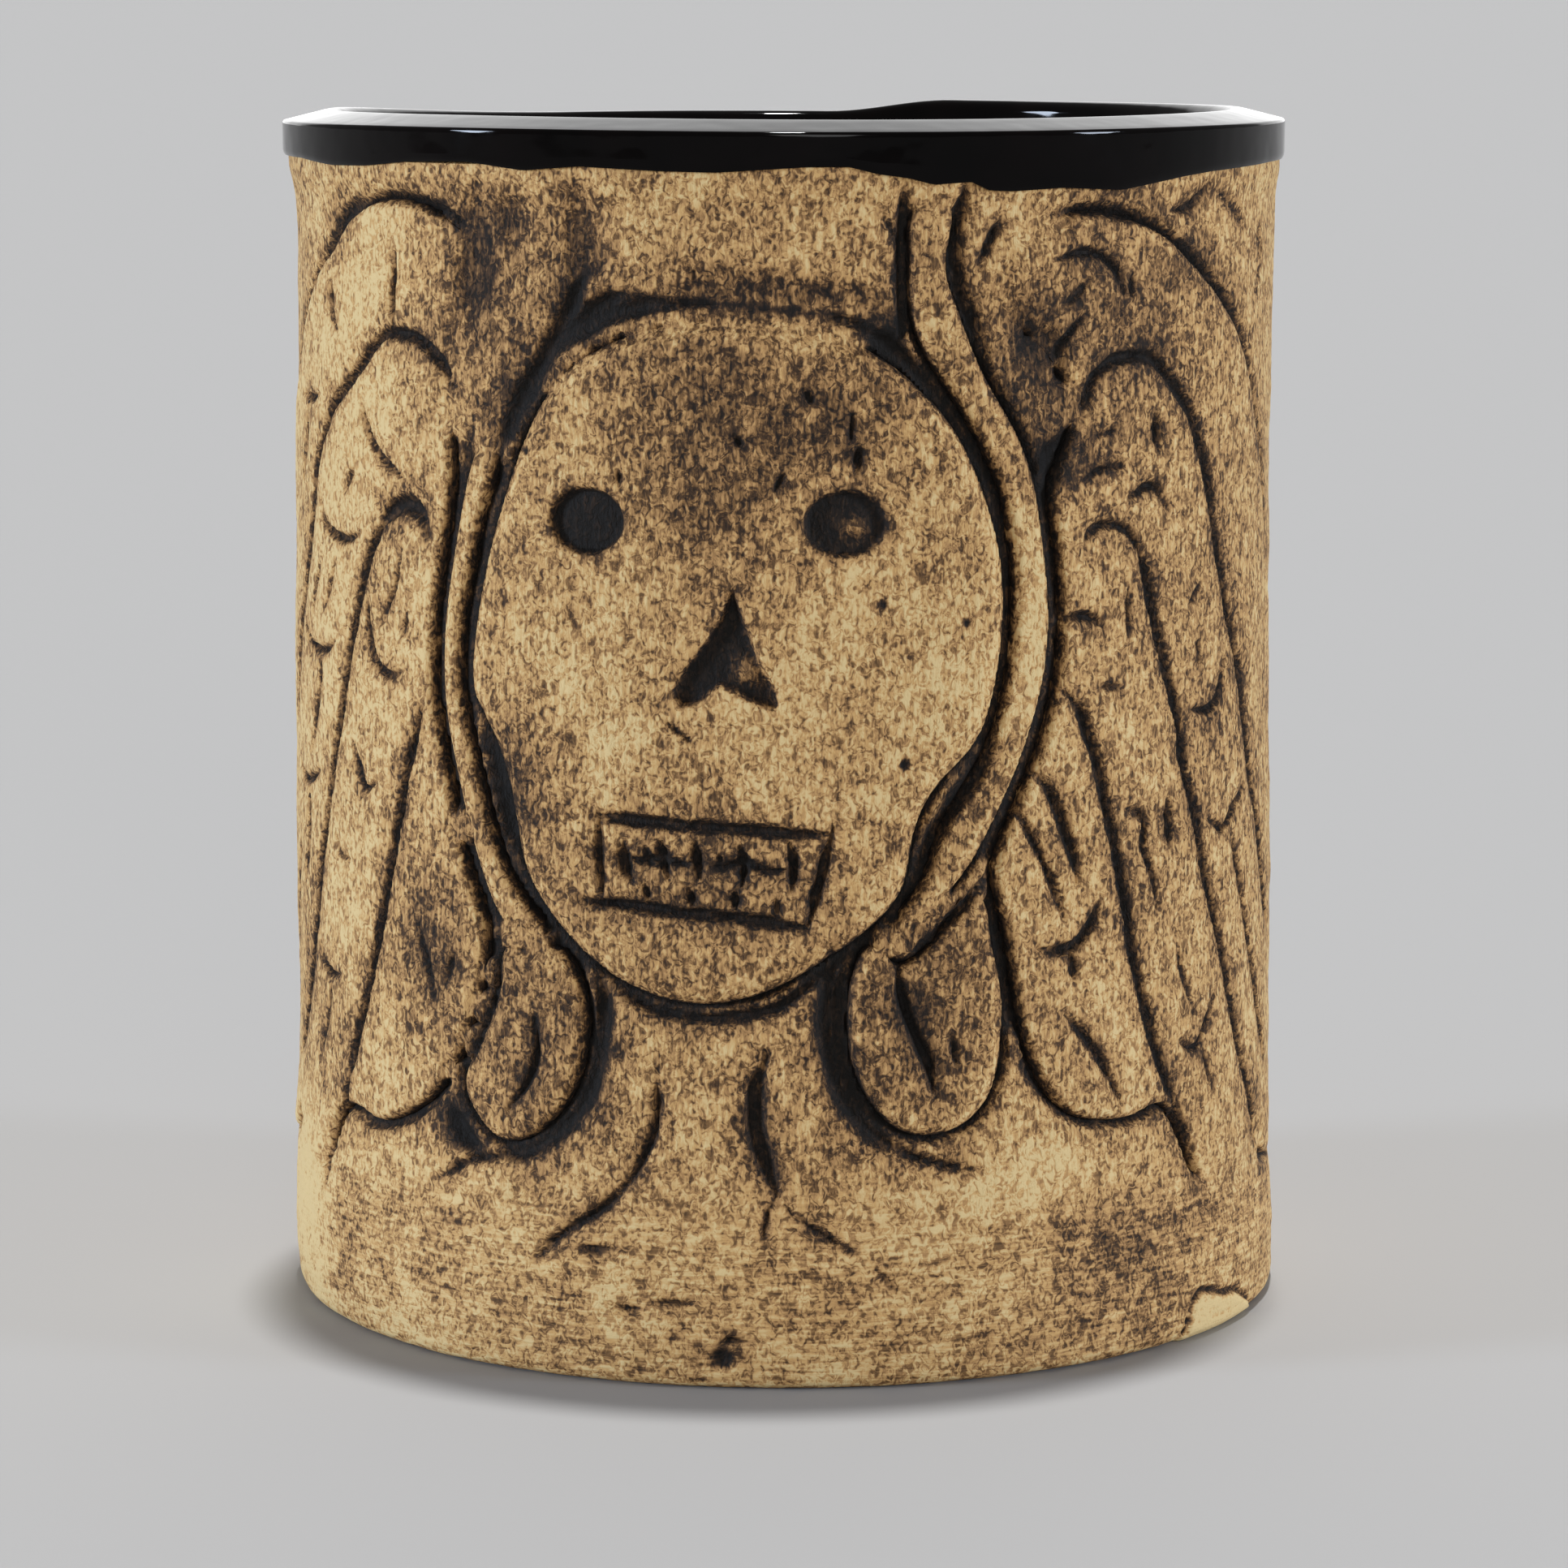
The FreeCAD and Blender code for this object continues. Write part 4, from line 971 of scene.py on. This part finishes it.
def stained_stoneware():
    """Oxide-rubbed stoneware: a grogged tan clay, dry to the touch.

    The dark oxide was washed on and wiped off again, so it stays in every line, pit and scratch.
    The eye sees tan clay with crisp brown specks half a millimetre across, streaked the way that
    the tools and the sponge went: up the wall, and round it near the foot.
    """
    material, tree, shader = new_material("oxide_rubbed_stoneware")
    where = node(tree, "ShaderNodeTexCoord").outputs["Object"]
    # the stain attribute darkens the clay for oxide, and also carries painted shade and painted
    # highlights
    stain = node(tree, "ShaderNodeAttribute", attribute_name="stain").outputs["Fac"]
    height = node(tree, "ShaderNodeSeparateXYZ", {"Vector": where}).outputs["Z"]
    near_foot = node(tree, "ShaderNodeMapRange", {"Value": height}, in_From_Min=11.0 * MM,
                     in_From_Max=19.0 * MM, in_To_Min=1.0, in_To_Max=0.0, clamp=True)
    upright = grain(tree, where, 0.34, 3.0, 0.6, (1.0, 1.0, 0.28), 0.3)
    level = grain(tree, where, 0.40, 3.0, 0.6, (0.14, 0.14, 1.0), 0.3)
    directions = {"Factor": near_foot.outputs["Result"], "A": upright, "B": level}
    streaks = node(tree, "ShaderNodeMix", directions)
    specks = grain(tree, where, 0.62, 3.0, 0.55, (1.0, 1.0, 0.85), 1.2)
    crisp = node(tree, "ShaderNodeMapRange", {"Value": specks}, in_From_Min=0.40, in_From_Max=0.66,
                 in_To_Min=-0.5, in_To_Max=0.5, interpolation_type="SMOOTHSTEP")
    blotches = grain(tree, where, 2.2, 3.0, 0.6, (1.0, 1.0, 0.8), 0.6)
    clouds = grain(tree, where, 9.0, 2.0, 0.5)
    oxide = add_scaled(tree, stain, streaks.outputs["Result"], 1.10, 0.5)
    oxide = add_scaled(tree, oxide, crisp.outputs["Result"], 0.40, 0.0)
    oxide = add_scaled(tree, oxide, blotches, 0.65, 0.5)
    oxide = add_scaled(tree, oxide, clouds, 0.4, 0.5)
    share = node(tree, "ShaderNodeMath", {0: oxide}, operation="MULTIPLY_ADD", in_1=0.75, in_2=0.31)
    ramp_node = node(tree, "ShaderNodeValToRGB", {"Fac": share.outputs[0]})
    stops = ramp_node.color_ramp.elements
    stops[0].position, stops[0].color = 0.06, linear("#D3B985")
    stops[1].position, stops[1].color = 1.0, linear("#0B0704")
    for position, colour in ((0.22, "#C39B63"), (0.34, "#A57E50"), (0.45, "#795935"),
                             (0.58, "#49331E"), (0.76, "#21160D")):
        stop = stops.new(position)
        stop.color = linear(colour)
    tree.links.new(ramp_node.outputs["Color"], shader.inputs["Base Color"])
    shader.inputs["Specular IOR Level"].default_value = 0.25
    shader.inputs["Roughness"].default_value = 0.75
    bump = node(tree, "ShaderNodeBump", {"Height": crisp.outputs["Result"]}, in_Strength=0.4,
                in_Distance=0.00012, invert=True)
    relief = {"Height": streaks.outputs["Result"], "Normal": bump.outputs["Normal"]}
    coarse = node(tree, "ShaderNodeBump", relief, in_Strength=0.5, in_Distance=0.0003, invert=True)
    tree.links.new(coarse.outputs["Normal"], shader.inputs["Normal"])
    return material


def bare_stoneware():
    """Bare fired stoneware: plain tan clay with fine grog, where nothing was rubbed on."""
    material, tree, shader = new_material("bare_stoneware")
    where = node(tree, "ShaderNodeTexCoord").outputs["Object"]
    grog = grain(tree, where, 0.6, 3.0, 0.6)
    colours = node(tree, "ShaderNodeValToRGB", {"Fac": grog})
    colours.color_ramp.elements[0].position = 0.35
    colours.color_ramp.elements[0].color = linear("#9C8256")
    colours.color_ramp.elements[1].position = 0.62
    colours.color_ramp.elements[1].color = linear("#C6AE7E")
    tree.links.new(colours.outputs["Color"], shader.inputs["Base Color"])
    shader.inputs["Roughness"].default_value = 0.8
    bump = node(tree, "ShaderNodeBump", {"Height": grog}, in_Strength=0.4, in_Distance=0.0002)
    tree.links.new(bump.outputs["Normal"], shader.inputs["Normal"])
    return material


def black_glaze(name, thick, thin, shine):
    """Glossy black tenmoku glaze: a thick iron glass, dark brown where it runs thin over the lip.

    It gives long soft reflections that waver with the hand-made surface. They are stronger inside
    the mug, where the glaze was poured and lies thicker.
    """
    material, tree, shader = new_material(name)
    where = node(tree, "ShaderNodeTexCoord").outputs["Object"]
    cloud = grain(tree, where, 6.0, 2.0, 0.5)
    colours = node(tree, "ShaderNodeValToRGB", {"Fac": cloud})
    colours.color_ramp.elements[0].position = 0.35
    colours.color_ramp.elements[0].color = linear(thick)
    colours.color_ramp.elements[1].position = 0.75
    colours.color_ramp.elements[1].color = linear(thin)
    tree.links.new(colours.outputs["Color"], shader.inputs["Base Color"])
    gloss = node(tree, "ShaderNodeMapRange", {"Value": grain(tree, where, 2.0, 2.0, 0.5)},
                 in_From_Min=0.3, in_From_Max=0.7, in_To_Min=0.03, in_To_Max=0.08)
    tree.links.new(gloss.outputs["Result"], shader.inputs["Roughness"])
    ripple = grain(tree, where, 3.0, 1.0, 0.4)
    bump = node(tree, "ShaderNodeBump", {"Height": ripple}, in_Strength=0.15, in_Distance=0.0003)
    tree.links.new(bump.outputs["Normal"], shader.inputs["Normal"])
    shader.inputs["Specular IOR Level"].default_value = shine
    return material


def floor_paper():
    """Plain grey backdrop paper: matt and even."""
    material, _, shader = new_material("grey_backdrop_paper")
    shader.inputs["Base Color"].default_value = linear("#A6A5A4")
    shader.inputs["Roughness"].default_value = 1.0
    shader.inputs["Specular IOR Level"].default_value = 0.0
    return material


# ---------------------------------------------------------------- the studio

def make_camera():
    """The camera in front of the mug, looking slightly down."""
    camera = bpy.data.objects.new("camera", bpy.data.cameras.new("camera"))
    camera.data.sensor_width = 36.0
    camera.data.lens = CAMERA_LENS
    camera.data.clip_start = 0.01
    camera.data.clip_end = 300.0
    camera.location = (0.0, -CAMERA_DISTANCE * MM, CAMERA_HEIGHT * MM)
    camera.rotation_euler = (math.radians(90.0 - CAMERA_PITCH), 0.0, 0.0)
    bpy.context.scene.collection.objects.link(camera)
    bpy.context.scene.camera = camera


def add_far_light(name, azimuth, elevation, strength, spread, colour):
    """A large far light, from the values of its row in FAR_LIGHTS."""
    light = bpy.data.lights.new(name, "SUN")
    light.color = linear(colour)[:3]
    light.energy = strength
    light.angle = math.radians(spread)
    lamp = bpy.data.objects.new(name, light)
    round_by, up_by = math.radians(azimuth), math.radians(elevation)
    source = Vector((math.sin(round_by) * math.cos(up_by), -math.cos(round_by) * math.cos(up_by),
                     math.sin(up_by)))
    lamp.rotation_euler = (-source).to_track_quat("-Z", "Y").to_euler()
    bpy.context.scene.collection.objects.link(lamp)


def make_floor():
    """A floor wide enough to reach the horizon from the camera."""
    bm = bmesh.new()
    bmesh.ops.create_circle(bm, cap_ends=True, segments=64, radius=100.0)
    mesh = bpy.data.meshes.new("paper_floor")
    bm.to_mesh(mesh)
    bm.free()
    mesh.materials.append(floor_paper())
    floor = bpy.data.objects.new("paper_floor", mesh)
    bpy.context.scene.collection.objects.link(floor)


def make_surroundings():
    """An even pale room with a bright screen behind the mug, which the glazed rim reflects."""
    world = bpy.data.worlds.new("studio")
    world.use_nodes = True
    tree = world.node_tree
    toward = node(tree, "ShaderNodeTexCoord").outputs["Generated"]
    backward = node(tree, "ShaderNodeSeparateXYZ", {"Vector": toward}).outputs["Y"]
    screen = node(tree, "ShaderNodeMapRange", {"Value": backward}, in_From_Min=0.72, in_From_Max=0.84,
                  in_To_Min=0.31, in_To_Max=1.8, interpolation_type="SMOOTHSTEP")
    background = tree.nodes["Background"]
    background.inputs["Color"].default_value = linear("#FFFFFF")
    tree.links.new(screen.outputs["Result"], background.inputs["Strength"])
    bpy.context.scene.world = world
    bpy.context.scene.view_settings.view_transform = "Standard"


def make_studio():
    """The camera, the floor, the lights and the room."""
    make_camera()
    make_floor()
    for light in FAR_LIGHTS:
        add_far_light(*light)
    make_surroundings()


# ---------------------------------------------------------------- putting it together

def build_mug():
    """Every visible piece of the mug, with its finish."""
    clay = stained_stoneware()
    wall = add_piece("wall", turned(wall_profile(), 410), shape_wall)
    finish_piece(wall, clay, "wall_slab")
    base = add_piece("base", turned(base_profile(), 520, to_axis=True), shape_base)
    finish_piece(base, clay, "base_slab")
    for shape in RELIEF_SHAPES:
        relief_piece(clay, *shape)
    rim = add_piece("rim_coat", turned(lip_profile(), 360), shape_rim)
    dipped = black_glaze("black_tenmoku_dipped", "#020101", "#060303", 0.1)
    finish_piece(rim, dipped, "rim_glaze")
    liner = add_piece("liner_coat", turned(liner_profile(), 240, to_axis=True), shape_liner)
    # the poured coat's colours are a little lighter than the dipped coat's: painted light, so that the
    # shaded inside still shows its form
    poured = black_glaze("black_tenmoku_poured", "#120E0C", "#1E1815", 0.5)
    finish_piece(liner, poured, "liner_glaze")
    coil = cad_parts["base_seam_coil"]
    for material_slot in coil.material_slots:
        material_slot.material = bare_stoneware()


make_studio()
build_mug()
